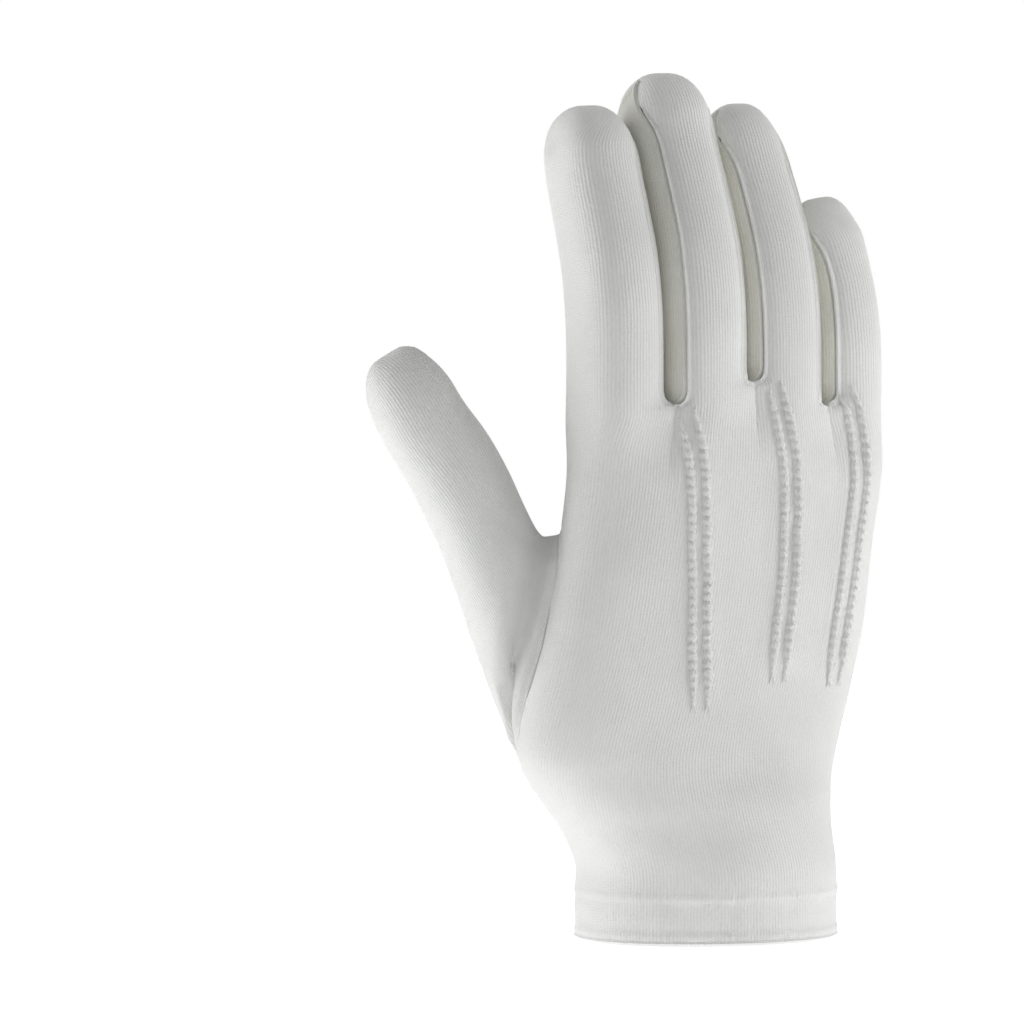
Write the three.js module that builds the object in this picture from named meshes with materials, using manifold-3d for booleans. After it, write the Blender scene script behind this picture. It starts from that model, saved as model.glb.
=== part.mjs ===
// White cotton parade glove for a right hand, as it stands when it is filled by a hand.
// Millimetres. +Z runs from the cuff up to the fingertips, -Y is the back of the hand,
// +Y the palm, -X the thumb side. The origin is the middle of the cuff's opening.
// The cloth is cut as in a real glove: one trank folded at the forefinger's side, three
// fourchettes between the fingers, a set-in thumb, raised points on the back, a turned hem,
// a faced slit with a keyhole on the palm, and a snap fastener.
import * as THREE from 'three';
import Module from 'manifold-3d';
import { mergeVertices } from 'three/addons/utils/BufferGeometryUtils.js';

const wasm = await Module();
wasm.setup();

// Driving sizes
const CLOTH = 1.1;             // thickness of one ply
const GAP = 0.3;               // space kept between two pieces
const CROTCH_HEIGHT = 145;     // cuff edge to the forks of the fingers
const HAND_WIDTH = 91;         // across the knuckles
const HAND_DEPTH = 27;         // back to palm at the knuckles
const CUFF_WIDTH = 68;
const CUFF_DEPTH = 53;
const FINGER_WIDTH = 22;       // across the middle finger's root
const FINGER_DEPTH = 24.8;     // back to palm at the same place
const TIP_ROUND = 12;          // height of a fingertip's dome
const THUMB_WIDTH = 25;
const WEB_RADIUS = 5;          // rounding at the forks between fingers
const HEM_HEIGHT = 12.5;
const POINT_LENGTH = 78;       // raised points on the back, from the forks down
const WELT_WIDTH = 2.7;
const WELT_HEIGHT = 1.8;
const WELT_SPACING = 4.1;      // between the two welts of one point
const SLIT_HEIGHT = 35;        // where the two edges of the closure cross
const KEYHOLE_HEIGHT = 22;
const FACING_WIDTH = 7;
const FACING_SHOWS = 1.7;      // how far the facing stands out past the free edge on top
const FACING_ROUND = 0.3;      // and how far round the keyhole
const SNAP_DIAMETER = 13;
const SNAP_HEIGHT = 14.8;      // centre of the snap above the cuff edge
const SNAP_ANGLE = -164.5;      // where it sits round the wrist
const SHANK_RADIUS = 1.6;      // the snap's two posts, through the cloth
const SOCKET_RADIUS = 4.2;
const FLANGE_RADIUS = 4.6;

// Seams run at this angle from the middle of a finger's back and front.
const SEAM_ANGLE = 43;
const SEAM_POINT = 2.6;        // the side seams meet this far under a fingertip
const SEAM_NARROWS = 24;       // and begin to draw together this far under it

// Columns: x where the finger stands, its root and tip y, its tip's height, its width and depth,
// how much of them is left at the foot of the tip's dome, and the seam on its thumb side. They
// are shares of HAND_WIDTH, HAND_DEPTH, CROTCH_HEIGHT, FINGER_WIDTH, FINGER_DEPTH and SEAM_ANGLE.
const FINGERS = [
  {
    name: 'index', x: -0.299, rootY: 0.06, tipY: 0.57, tip: 1.512,
    width: 0.945, depth: 0.985, narrowed: 0.95, seam: 1,
  },
  {
    name: 'middle', x: -0.044, rootY: -0.04, tipY: 0.62, tip: 1.568,
    width: 1.0, depth: 1.0, narrowed: 0.93, seam: 1,
  },
  {
    name: 'ring', x: 0.216, rootY: 0.0, tipY: 0.65, tip: 1.509,
    width: 1.0, depth: 0.97, narrowed: 0.84, seam: 0.95,
  },
  {
    name: 'little', x: 0.46, rootY: 0.11, tipY: 0.43, tip: 1.337,
    width: 0.87, depth: 0.86, narrowed: 0.84, seam: 0.78,
  },
];

// How far a finger has bent towards its tip's y on its way up, and how much of its narrowing has
// come. Height runs from the root (0) to the tip (1).
const FINGER_BEND = [
  { at: 0,    bend: 0,    narrowing: 0 },
  { at: 0.27, bend: 0.03, narrowing: 0.06 },
  { at: 0.45, bend: 0.19, narrowing: 0.14 },
  { at: 0.6,  bend: 0.48, narrowing: 0.28 },
  { at: 0.74, bend: 0.78, narrowing: 0.52 },
  { at: 0.86, bend: 0.96, narrowing: 1 },
  { at: 1,    bend: 1,    narrowing: 1.3 },
];
const TIP_BREADTH = 0.2;       // length of the seam over a fingertip, as a share of its width

// Forks between neighbouring fingers: their height on the back and on the palm, as shares of
// CROTCH_HEIGHT.
const FORKS = [
  { back: 0.973, palm: 0.952 },
  { back: 1.008, palm: 0.976 },
  { back: 0.96,  palm: 0.926 },
];

// Sections of the hand by height (share of CROTCH_HEIGHT). The first rows are shares of the
// cuff's width and depth, the others of the hand's. Square: 0 is an ellipse. Turn: degrees that
// the section is turned about its middle, as a wrist turns from its hand.
const HAND = [
  { at: 0,     of: 'cuff', left: -0.5,   right: 0.5,   back: -0.5,  palm: 0.5,   square: 0.03, turn: 16 },
  { at: 0.07,  of: 'cuff', left: -0.504, right: 0.504, back: -0.5,  palm: 0.5,   square: 0.03, turn: 16 },
  { at: 0.134, of: 'cuff', left: -0.499, right: 0.499, back: -0.49, palm: 0.49,  square: 0.03, turn: 16 },
  { at: 0.207, of: 'cuff', left: -0.574, right: 0.476, back: -0.44, palm: 0.47,  square: 0.05, turn: 14 },
  { at: 0.256, of: 'hand', left: -0.489, right: 0.357, back: -0.81, palm: 0.9,   square: 0.07, turn: 11 },
  { at: 0.3,   of: 'hand', left: -0.542, right: 0.368, back: -0.74, palm: 0.88,  square: 0.08, turn: 8 },
  { at: 0.35,  of: 'hand', left: -0.579, right: 0.395, back: -0.69, palm: 0.855, square: 0.08, turn: 5 },
  { at: 0.44,  of: 'hand', left: -0.568, right: 0.445, back: -0.63, palm: 0.82,  square: 0.09, turn: 2 },
  { at: 0.572, of: 'hand', left: -0.516, right: 0.502, back: -0.57, palm: 0.76,  square: 0.11, turn: 0 },
  { at: 0.717, of: 'hand', left: -0.462, right: 0.534, back: -0.54, palm: 0.66,  square: 0.13, turn: 0 },
  { at: 0.862, of: 'hand', left: -0.432, right: 0.569, back: -0.51, palm: 0.56,  square: 0.15, turn: 0 },
  { at: 1,     of: 'hand', left: -0.421, right: 0.577, back: -0.49, palm: 0.51,  square: 0.16, turn: 0 },
];
const SIZE_OF = {
  cuff: { width: CUFF_WIDTH, depth: CUFF_DEPTH },
  hand: { width: HAND_WIDTH, depth: HAND_DEPTH },
};

// Outline of the hole that the thumb is set into: the angle round the hand and the height. rise
// is how steeply the thumb's cloth leaves the hand there, in degrees.
const THUMB_HOLE = [
  { angle: -108, at: 0.738, rise: 85 },
  { angle: -96,  at: 0.69,  rise: 85 },
  { angle: -92,  at: 0.57,  rise: 75 },
  { angle: -93,  at: 0.44,  rise: 55 },
  { angle: -99,  at: 0.325, rise: 28 },
  { angle: -114, at: 0.235, rise: 14 },
  { angle: -131, at: 0.225, rise: 10 },
  { angle: -146, at: 0.305, rise: 14 },
  { angle: -151, at: 0.44,  rise: 14 },
  { angle: -149, at: 0.58,  rise: 18 },
  { angle: -142, at: 0.68,  rise: 32 },
  { angle: -126, at: 0.738, rise: 65 },
];

// The thumb's axis as shares of HAND_WIDTH and CROTCH_HEIGHT, and its width (across the seam on
// its inner edge) and depth as shares of THUMB_WIDTH. Below 0 only its outer side is cloth: the
// tube starts on a slant, which reaches down by THUMB_SLANT.
const THUMB = [
  { at: -0.55, x: -0.49,  y: 0.12,  z: 0.524, width: 1.24, depth: 1.16 },
  { at: 0,     x: -0.604, y: 0.209, z: 0.72,  width: 1.0,  depth: 1.0 },
  { at: 0.4,   x: -0.69,  y: 0.264, z: 0.857, width: 0.99, depth: 0.96 },
  { at: 0.75,  x: -0.78,  y: 0.308, z: 0.955, width: 0.94, depth: 0.93 },
  { at: 1,     x: -0.872, y: 0.341, z: 1.07,  width: 0.9,  depth: 0.9 },
];
const THUMB_SLANT = 0.5;
const BACK_LATER = 0.22;        // how much later the tube starts on the back

// The two edges of the closure from the cuff up to where they cross (height as a share of
// SLIT_HEIGHT) and from there round the keyhole (share of KEYHOLE_HEIGHT): the angle round the
// wrist of the edge on top and of the one beneath it, and the top one's lift, as a share.
const SLIT = [
  { at: 0,    over: -163,   under: -186,   lift: 1 },
  { at: 0.1,  over: -152,   under: -186,   lift: 1 },
  { at: 0.21, over: -144,   under: -186,   lift: 1 },
  { at: 0.34, over: -140.5, under: -186,   lift: 1 },
  { at: 0.49, over: -141.5, under: -185.5, lift: 1 },
  { at: 0.67, over: -149.5, under: -183,   lift: 1 },
  { at: 0.85, over: -160,   under: -177,   lift: 1 },
  { at: 1,    over: -170,   under: -170,   lift: 0.95 },
];
const KEYHOLE = [
  { at: 0.13, over: -175.5, under: -167.5, lift: 0.8 },
  { at: 0.3,  over: -180.3, under: -165.2, lift: 0.58 },
  { at: 0.52, over: -183,   under: -164.6, lift: 0.34 },
  { at: 0.74, over: -182.6, under: -166,   lift: 0.16 },
  { at: 0.91, over: -179.4, under: -169.4, lift: 0.04 },
  { at: 1,    over: -174,   under: -174,   lift: 0 },
  { at: 1.7,  over: -169.5, under: -169.5, lift: 0 },
  { at: 2.6,  over: -165.5, under: -165.5, lift: 0 },
];
const CLOSURE_LIFT = 2 * CLOTH + 4 * GAP;

// Raised points: x by height for each fork's pair, as shares of HAND_WIDTH. Height runs from the
// welts' foot (0) to their top (1), which is given as a share of CROTCH_HEIGHT.
const POINTS = [
  {
    top: 0.972,
    rows: [{ at: 0, x: -0.133 }, { at: 0.45, x: -0.122 }, { at: 0.85, x: -0.125 }, { at: 1, x: -0.15 }],
  },
  {
    top: 1.018,
    rows: [
      { at: 0, x: 0.131 }, { at: 0.3, x: 0.171 }, { at: 0.6, x: 0.189 },
      { at: 0.85, x: 0.174 }, { at: 1, x: 0.142 },
    ],
  },
  {
    top: 1.005,
    rows: [
      { at: 0, x: 0.34 }, { at: 0.4, x: 0.402 }, { at: 0.75, x: 0.445 },
      { at: 0.9, x: 0.437 }, { at: 1, x: 0.405 },
    ],
  },
];

// Fineness of the faceting
const ARC_COLUMNS = 4;         // across the cloth between two seams of a finger
const SIDE_COLUMNS = 6;        // across the forefinger's and little finger's outer halves
const FOURCHETTE_COLUMNS = 3;
const HAND_ROWS = [0.46, 0.53, 0.605, 0.68, 0.755, 0.83, 0.89, 0.95, 1];   // above the keyhole
const FINGER_ROWS = [0, 0.02, 0.055, 0.12, 0.24, 0.38, 0.53, 0.68, 0.84, 1];
const TIP_TURNS = [0.3, 0.55, 0.78, 1];
const SEAM_TURN = 1;           // the tip's row at which the side seams meet
const THUMB_SIDES = 18;
const HEM_COLUMNS = 28;
const FACING_ROWS = 20;
const WELT_ROWS = 14;
const ROUND_SIDES = 26;

const RADIANS = Math.PI / 180;
const mix = (a, b, t) => a + (b - a) * t;
const clamp = (t) => Math.min(1, Math.max(0, t));
const smooth = (t) => clamp(t) ** 2 * (3 - 2 * clamp(t));
const vector = (x, y, z) => new THREE.Vector3(x, y, z);
const wrapped = (angle) => ((angle + 540) % 360) - 180;

// A smooth curve through one column of a table, whose first column is called at.
function follow(rows, column, t) {
  const last = rows.length - 1;
  const x = Math.min(rows[last].at, Math.max(rows[0].at, t));
  let i = 0;
  while (i < last - 1 && x > rows[i + 1].at) i += 1;
  const slope = (k) => {
    const [a, b] = [rows[Math.max(k - 1, 0)], rows[Math.min(k + 1, last)]];
    return (b[column] - a[column]) / (b.at - a.at);
  };
  const span = rows[i + 1].at - rows[i].at;
  const u = (x - rows[i].at) / span;
  const [p, q] = [rows[i][column], rows[i + 1][column]];
  return p * (1 - u) ** 2 * (1 + 2 * u) + q * u * u * (3 - 2 * u)
    + span * u * (1 - u) * (slope(i) * (1 - u) - slope(i + 1) * u);
}

// The hand's tables in millimetres.
const HAND_SECTIONS = HAND.map((row) => {
  const size = SIZE_OF[row.of];
  return {
    at: row.at * CROTCH_HEIGHT, square: row.square, turn: row.turn * RADIANS,
    left: row.left * size.width, right: row.right * size.width,
    back: row.back * size.depth, palm: row.palm * size.depth,
  };
});
const CLOSURE_EDGES = [
  ...SLIT.map((row) => ({ ...row, at: row.at * SLIT_HEIGHT })),
  ...KEYHOLE.map((row) => ({ ...row, at: SLIT_HEIGHT + row.at * KEYHOLE_HEIGHT })),
];
const KEYHOLE_TOP = SLIT_HEIGHT + KEYHOLE_HEIGHT;

// A rounded-square section: 0 degrees is the back, 90 the little finger's side, 180 the palm.
function sectionPoint(angle, halfWidth, halfDepth, square) {
  const [s, c] = [Math.sin(angle * RADIANS), Math.cos(angle * RADIANS)];
  return [halfWidth * s * (1 + square * c * c), -halfDepth * c * (1 + square * s * s)];
}

// The hand without its fingers, at a height and an angle round it.
function handPoint(angle, height) {
  const size = (column) => follow(HAND_SECTIONS, column, height);
  const [left, right] = [size('left'), size('right')];
  const halfDepth = Math.cos(angle * RADIANS) > 0 ? -size('back') : size('palm');
  const [x, y] = sectionPoint(angle, (right - left) / 2, halfDepth, size('square'));
  const [s, c] = [Math.sin(size('turn')), Math.cos(size('turn'))];
  return vector((left + right) / 2 + x * c + y * s, y * c - x * s, height);
}

// The angle round a finger after its side seams have moved to where they run at a height: near
// the tip they draw together, so that back and palm meet there. An outer side has no seam.
function seamedAngle(row, tip, turned, height) {
  const outer = (row === FINGERS[0] && turned < 0) || (row === FINGERS.at(-1) && turned > 0);
  if (outer) return turned;
  const drawn = clamp((height - tip + SEAM_NARROWS) / (SEAM_NARROWS - SEAM_POINT)) ** 2.2;
  const seam = mix(SEAM_ANGLE * (turned < 0 ? row.seam : 1), 90, drawn);
  const middle = Math.abs(turned) < 90 ? 0 : Math.sign(turned) * 180;
  const off = turned - middle;
  if (Math.abs(off) <= SEAM_ANGLE) return middle + off * seam / SEAM_ANGLE;
  const beyond = (Math.abs(off) - SEAM_ANGLE) / (90 - SEAM_ANGLE);
  return middle + Math.sign(off) * mix(seam, 90, beyond);
}

// A finger's sleeve above and below its root. Its axis bends towards the palm.
function makeFinger(row) {
  const tip = row.tip * CROTCH_HEIGHT;
  const length = tip - CROTCH_HEIGHT;
  const share = (height) => clamp((height - CROTCH_HEIGHT) / length);
  const axis = (height) => {
    const y = mix(row.rootY, row.tipY, follow(FINGER_BEND, 'bend', share(height))) * HAND_DEPTH;
    return vector(row.x * HAND_WIDTH, y, height);
  };
  const point = (turned, height) => {
    const angle = seamedAngle(row, tip, turned, height);
    const up = clamp((height - tip + TIP_ROUND) / TIP_ROUND);
    const dome = Math.sqrt(Math.max(0, 1 - up * up));
    const size = mix(1, row.narrowed, follow(FINGER_BEND, 'narrowing', share(height)));
    const halfWidth = FINGER_WIDTH / 2 * row.width * size * mix(TIP_BREADTH, 1, dome);
    const halfDepth = FINGER_DEPTH / 2 * row.depth * size * dome;
    const [across, deep] = sectionPoint(angle, halfWidth, halfDepth, 0.16);
    const lean = axis(height + 2).sub(axis(height - 2)).normalize();
    const depthWay = vector(0, lean.z, -lean.y);
    return axis(height).add(vector(across, 0, 0)).addScaledVector(depthWay, deep);
  };
  return { tip, point };
}
const SLEEVES = FINGERS.map(makeFinger);

// The height of the fork on one side of a finger, which falls from the back to the palm.
function forkHeight(fork, angle) {
  const share = clamp((Math.abs(angle) - SEAM_ANGLE) / (180 - 2 * SEAM_ANGLE));
  return mix(fork.back, fork.palm, share) * CROTCH_HEIGHT;
}

// The height at which a finger's cloth leaves the hand's, at an angle round the finger.
function rootHeight(finger, angle) {
  const [left, right] = [FORKS[finger - 1], FORKS[finger]];
  const l = left && forkHeight(left, angle);
  const r = right && forkHeight(right, angle);
  if (!left) return r;
  if (!right) return l;
  return mix(l, r, smooth((Math.sin(angle * RADIANS) / Math.sin(SEAM_ANGLE * RADIANS) + 1) / 2));
}

// A finger's surface with its root drawn in to the forks, where two fingers' cloth meets.
function fingerPoint(finger, angle, height) {
  const turned = wrapped(angle);
  const point = SLEEVES[finger].point(turned, height);
  for (const side of [-1, 1]) {
    const fork = FORKS[side < 0 ? finger - 1 : finger];
    if (!fork || turned * side <= 0) continue;
    const foot = forkHeight(fork, turned);
    const rise = clamp((height - foot) / WEB_RADIUS);
    const pull = 1 - Math.sqrt(1 - (1 - rise) ** 2);
    const off = Math.min(Math.abs(turned), 180 - Math.abs(turned));
    const near = smooth((off - 8) / (SEAM_ANGLE - 8));
    const mine = SLEEVES[finger].point(turned, foot);
    const other = SLEEVES[finger + side].point(-turned, foot);
    point.addScaledVector(other.sub(mine), pull * near / 2);
  }
  return point;
}

// The columns of the trank, from the little finger's outer seam over the back, round the
// forefinger's side and over the palm to the same seam. hand: the angle round the hand.
const HAND_ANGLE_OF_FORK = [-30, 1, 32];
const OUTER_SEAM = { hand: 100, finger: 90 };
function trankGroups() {
  const seam = SEAM_ANGLE;
  const [a, b, c] = HAND_ANGLE_OF_FORK;
  const back = [
    { finger: 3, from: [OUTER_SEAM.hand, OUTER_SEAM.finger], to: [c, -seam], columns: SIDE_COLUMNS },
    { finger: 2, from: [c, seam], to: [b, -seam], columns: ARC_COLUMNS },
    { finger: 1, from: [b, seam], to: [a, -seam], columns: ARC_COLUMNS },
    { finger: 0, from: [a, seam], to: [-90, -90], columns: SIDE_COLUMNS },
  ];
  const mirrored = ([hand, finger]) => [-180 - hand, -180 - finger];
  const palm = back.map((g) => ({ ...g, from: mirrored(g.to), to: mirrored(g.from) })).reverse();
  palm.at(-1).to = [OUTER_SEAM.hand - 360, OUTER_SEAM.finger - 360];
  return [...back, ...palm];
}

// The outer seam drifts towards the palm on its way down to the cuff.
const SEAM_DRIFT = 24;
function driftedAngle(hand, height) {
  const towardsSeam = clamp((Math.abs(hand + 80) - 112) / 68);
  const low = smooth(1 - (height / CROTCH_HEIGHT - 0.05) / 0.4);
  return hand + SEAM_DRIFT * towardsSeam * low;
}

// How far the closure's upper edge is lifted off the lower one at a true angle round the hand.
// It clears the lower cloth where the two overlap, stands proud at the edge itself and fades
// towards the little finger's side.
const OVER_END = -250;
const EDGE_PROUD = 1.2;
function closureLift(angle, height) {
  if (height >= KEYHOLE_TOP) return 0;
  const edge = follow(CLOSURE_EDGES, 'over', height);
  const share = clamp((angle - OVER_END) / (edge - OVER_END));
  const lift = CLOSURE_LIFT * smooth((share - 0.3) / 0.28) + EDGE_PROUD * smooth((share - 0.55) / 0.45);
  return lift * follow(CLOSURE_EDGES, 'lift', height);
}

// A place on the hand's cloth, or under it by a depth. over: on the closure's lifted side.
function clothPoint(angle, height, depth = 0, over = false) {
  const rise = (over ? closureLift(angle, height) : 0) - depth;
  const point = handPoint(angle, height);
  return rise ? point.addScaledVector(handNormal(angle, height), rise) : point;
}

// The trank's outer surface. hand and turn are a column's angles round the hand and the finger;
// closure says which edge of the closure moves the column, and by how much of its way.
const ROOT_BLEND = 20;
function trankPoint(finger, hand, turn, height, closure) {
  const root = rootHeight(finger, wrapped(turn));
  const blend = smooth((height - root + ROOT_BLEND) / ROOT_BLEND);
  let angle = driftedAngle(hand, height);
  if (closure) {
    angle += (follow(CLOSURE_EDGES, closure.edge, height) - CLOSURE_MIDDLE) * closure.share;
  }
  if (blend === 1) return fingerPoint(finger, turn, height);
  const onHand = clothPoint(angle, height, 0, closure?.edge === 'over');
  return blend === 0 ? onHand : onHand.lerp(fingerPoint(finger, turn, height), blend);
}

function handNormal(angle, height) {
  const across = handPoint(angle + 1, height).sub(handPoint(angle - 1, height));
  const up = handPoint(angle, height + 1).sub(handPoint(angle, Math.max(height - 1, -1)));
  return across.cross(up).normalize();
}

// An open sheet of cloth as quads over welded points.
class Sheet {
  constructor() {
    this.points = [];
    this.faces = [];
    this.known = new Map();
  }

  key(p) {
    return [p.x, p.y, p.z].map((v) => Math.round(v * 500)).join();
  }

  index(p) {
    const key = this.key(p);
    if (!this.known.has(key)) {
      this.known.set(key, this.points.length);
      this.points.push(p.clone());
    }
    return this.known.get(key);
  }

  // rows[j][i] with i going round so that the outside is on the right of the way up.
  addGrid(rows) {
    for (let j = 0; j + 1 < rows.length; j += 1) {
      for (let i = 0; i + 1 < rows[j].length; i += 1) {
        const corners = [rows[j][i], rows[j][i + 1], rows[j + 1][i + 1], rows[j + 1][i]]
          .map((p) => this.index(p));
        const face = corners.filter((c, k) => c !== corners[(k + 3) % 4]);
        if (face.length > 2) this.faces.push(face);
      }
    }
    return this;
  }

  faceNormal(face) {
    const [a, b, c] = face.map((k) => this.points[k]);
    const d = this.points[face.at(-1)];
    return c.clone().sub(a).cross(d.clone().sub(b)).multiplyScalar(face.length > 3 ? 1 : 2);
  }
}

// Normals shared by every sheet whose points coincide, so that plies match at the seams.
const sharedNormals = new Map();
function shareNormals(sheets) {
  for (const sheet of sheets) {
    for (const face of sheet.faces) {
      const normal = sheet.faceNormal(face);
      for (const k of face) {
        const key = sheet.key(sheet.points[k]);
        if (!sharedNormals.has(key)) sharedNormals.set(key, vector(0, 0, 0));
        sharedNormals.get(key).add(normal);
      }
    }
  }
}

// A sheet as a closed solid: its outer face, an inner face one thickness in, and its edges, each
// drawn in by the inset so that a gap is left at the seams.
function clothSolid(sheet, inset = GAP / 2, thickness = CLOTH) {
  const uses = new Map();
  for (const face of sheet.faces) {
    const normal = sheet.faceNormal(face).normalize();
    face.forEach((a, k) => uses.set(`${a},${face[(k + 1) % face.length]}`, normal));
  }
  const edges = [...uses.keys()].map((key) => key.split(',').map(Number))
    .filter(([a, b]) => !uses.has(`${b},${a}`));
  const inwards = new Map();
  for (const [a, b] of edges) {
    const along = sheet.points[b].clone().sub(sheet.points[a]).normalize();
    const inward = uses.get(`${a},${b}`).clone().cross(along).normalize();
    for (const k of [a, b]) inwards.set(k, [...(inwards.get(k) ?? []), inward]);
  }
  const outer = sheet.points.map((p, k) => {
    if (!inwards.has(k)) return p.clone();
    const [m, n] = [inwards.get(k)[0], inwards.get(k).at(-1)];
    return p.clone().addScaledVector(m.clone().add(n), inset / Math.max(1 + m.dot(n), 0.12));
  });
  const inner = outer.map((p, k) => {
    const normal = sharedNormals.get(sheet.key(sheet.points[k])).clone().normalize();
    return p.clone().addScaledVector(normal, -thickness);
  });
  const count = outer.length;
  const triangles = [];
  for (const face of sheet.faces) {
    for (let k = 1; k + 1 < face.length; k += 1) {
      triangles.push(face[0], face[k], face[k + 1]);
      triangles.push(face[0] + count, face[k + 1] + count, face[k] + count);
    }
  }
  for (const [a, b] of edges) {
    const [p, q] = [sheet.points[a], sheet.points[b]];
    const falls = (p.z - q.z || p.x - q.x) > 0;
    if (falls) triangles.push(b, a, a + count, b, a + count, b + count);
    else triangles.push(b, a, b + count, a, a + count, b + count);
  }
  return geometryOf([...outer, ...inner], triangles);
}

function geometryOf(points, triangles) {
  const geometry = new THREE.BufferGeometry();
  geometry.setAttribute('position', new THREE.Float32BufferAttribute(
    points.flatMap((p) => [p.x, p.y, p.z]), 3));
  geometry.setIndex(triangles);
  return geometry;
}

// Solids for boolean cuts.
function solidOf(geometry) {
  const bare = geometry.clone();
  bare.deleteAttribute('normal');
  bare.deleteAttribute('uv');
  const merged = mergeVertices(bare, 1e-3);
  return new wasm.Manifold(new wasm.Mesh({
    numProp: 3,
    vertProperties: merged.attributes.position.array,
    triVerts: new Uint32Array(merged.index.array),
  }));
}

function geometryOfSolid(solid) {
  const mesh = solid.getMesh();
  const geometry = new THREE.BufferGeometry();
  geometry.setAttribute('position', new THREE.BufferAttribute(mesh.vertProperties, 3));
  geometry.setIndex(new THREE.BufferAttribute(mesh.triVerts, 1));
  return geometry;
}

// Heights up a finger, from its root to its tip, for one angle.
function fingerHeights(finger, angle) {
  const { tip } = SLEEVES[finger];
  const root = rootHeight(finger, wrapped(angle));
  const shoulder = tip - TIP_ROUND;
  return [
    ...FINGER_ROWS.map((share) => mix(root, shoulder, share)),
    ...TIP_TURNS.map((turn) => shoulder + TIP_ROUND * Math.sin(turn * 90 * RADIANS)),
  ];
}

// The trank: the hand's rows run all round, and each finger's rows go on from them. The wrist's
// slit opens at the middle of the palm of the middle finger's columns.
const CLOSURE_GROUP = 5;
const UNDER_END = -90;
const CLOSURE_MIDDLE = -180 - (HAND_ANGLE_OF_FORK[0] + HAND_ANGLE_OF_FORK[1]) / 2;
const ROW_SHARES = [
  ...CLOSURE_EDGES.filter((row) => row.at <= KEYHOLE_TOP).map((row) => row.at / CROTCH_HEIGHT),
  ...HAND_ROWS,
];

// A column of the palm goes along with the closure's edge on its side.
function closureOf(g, hand, beyondMiddle) {
  if (g < 4) return null;
  const edge = g > CLOSURE_GROUP || (g === CLOSURE_GROUP && beyondMiddle) ? 'over' : 'under';
  const end = edge === 'over' ? OVER_END : UNDER_END;
  return { edge, share: clamp((hand - end) / (CLOSURE_MIDDLE - end)) };
}

function trankSheet() {
  const sheet = new Sheet();
  const groups = trankGroups();
  groups.forEach((group, g) => {
    const anglesOf = (i) => {
      const t = i / group.columns;
      return [mix(group.from[0], group.to[0], t), mix(group.from[1], group.to[1], t)];
    };
    const halves = g === CLOSURE_GROUP
      ? [[0, group.columns / 2], [group.columns / 2, group.columns]] : [[0, group.columns]];
    halves.forEach(([first, last], half) => {
      const place = (i, height) => {
        const [hand, turn] = anglesOf(i);
        const closure = closureOf(g, hand, half === 1);
        const own = trankPoint(group.finger, hand, turn, height, closure);
        const beside = i === 0 ? groups[g - 1] : groups[g + 1];
        const shared = (i === 0 || i === group.columns) && beside && beside.finger !== group.finger;
        if (!shared) return own;
        const besideTurn = i === 0 ? beside.to[1] : beside.from[1];
        return own.lerp(trankPoint(beside.finger, hand, besideTurn, height, closure), 0.5);
      };
      const list = Array.from({ length: last - first + 1 }, (_, k) => first + k);
      const lower = ROW_SHARES.slice(0, -1).map((share) => list.map((i) => {
        const root = rootHeight(group.finger, wrapped(anglesOf(i)[1]));
        return place(i, mix(CROTCH_HEIGHT * share, root * share, smooth((share - 0.6) / 0.4)));
      }));
      const heights = list.map((i) => fingerHeights(group.finger, anglesOf(i)[1]));
      const upper = heights[0].map((_, j) => list.map((i, k) => (
        j === 0 ? place(i, heights[k][0])
          : trankPoint(group.finger, ...anglesOf(i), heights[k][j], null))));
      sheet.addGrid([...lower, ...upper]);
    });
  });
  return sheet;
}

// A fourchette: down the side of one finger, round the fork and up the side of the next.
function fourchetteSheet(fork) {
  const sheet = new Sheet();
  for (const [finger, side] of [[fork, 1], [fork + 1, -1]]) {
    const angles = Array.from({ length: FOURCHETTE_COLUMNS + 1 }, (_, k) => {
      const t = k / FOURCHETTE_COLUMNS;
      return side * mix(SEAM_ANGLE, 180 - SEAM_ANGLE, side > 0 ? 1 - t : t);
    });
    const rows = fingerHeights(finger, 0).map((_, j) => angles.map((angle) => {
      const height = fingerHeights(finger, angle)[j];
      return fingerPoint(finger, angle, height);
    }));
    sheet.addGrid(rows.slice(0, FINGER_ROWS.length + SEAM_TURN + 1));
  }
  return sheet;
}

// The thumb's outline on the hand: a smooth closed curve through the table. inwards moves a
// place on it towards the hole's middle, in the hand's surface, by so many millimetres.
const holeCurve = new THREE.CatmullRomCurve3(
  THUMB_HOLE.map((row) => vector(row.angle, row.at * CROTCH_HEIGHT, 0)), true, 'centripetal');
const riseCurve = new THREE.CatmullRomCurve3(
  THUMB_HOLE.map((row, k) => vector(row.rise, k, 0)), true, 'centripetal');
function holePoint(share, inwards = 0) {
  const [spot, way] = [holeCurve.getPoint(share), holeCurve.getTangent(share)];
  const point = handPoint(spot.x, spot.y);
  const normal = handNormal(spot.x, spot.y);
  const along = handPoint(spot.x + way.x * 0.1, spot.y + way.y * 0.1).sub(point);
  const inward = along.cross(normal).normalize();
  const rise = riseCurve.getPoint(share).x * RADIANS;
  const leave = inward.clone().multiplyScalar(Math.cos(rise)).addScaledVector(normal, Math.sin(rise));
  return { point: point.addScaledVector(inward, inwards), normal, leave };
}

function thumbAxis(t) {
  return vector(follow(THUMB, 'x', t) * HAND_WIDTH, follow(THUMB, 'y', t) * HAND_WIDTH,
    follow(THUMB, 'z', t) * CROTCH_HEIGHT);
}

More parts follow.
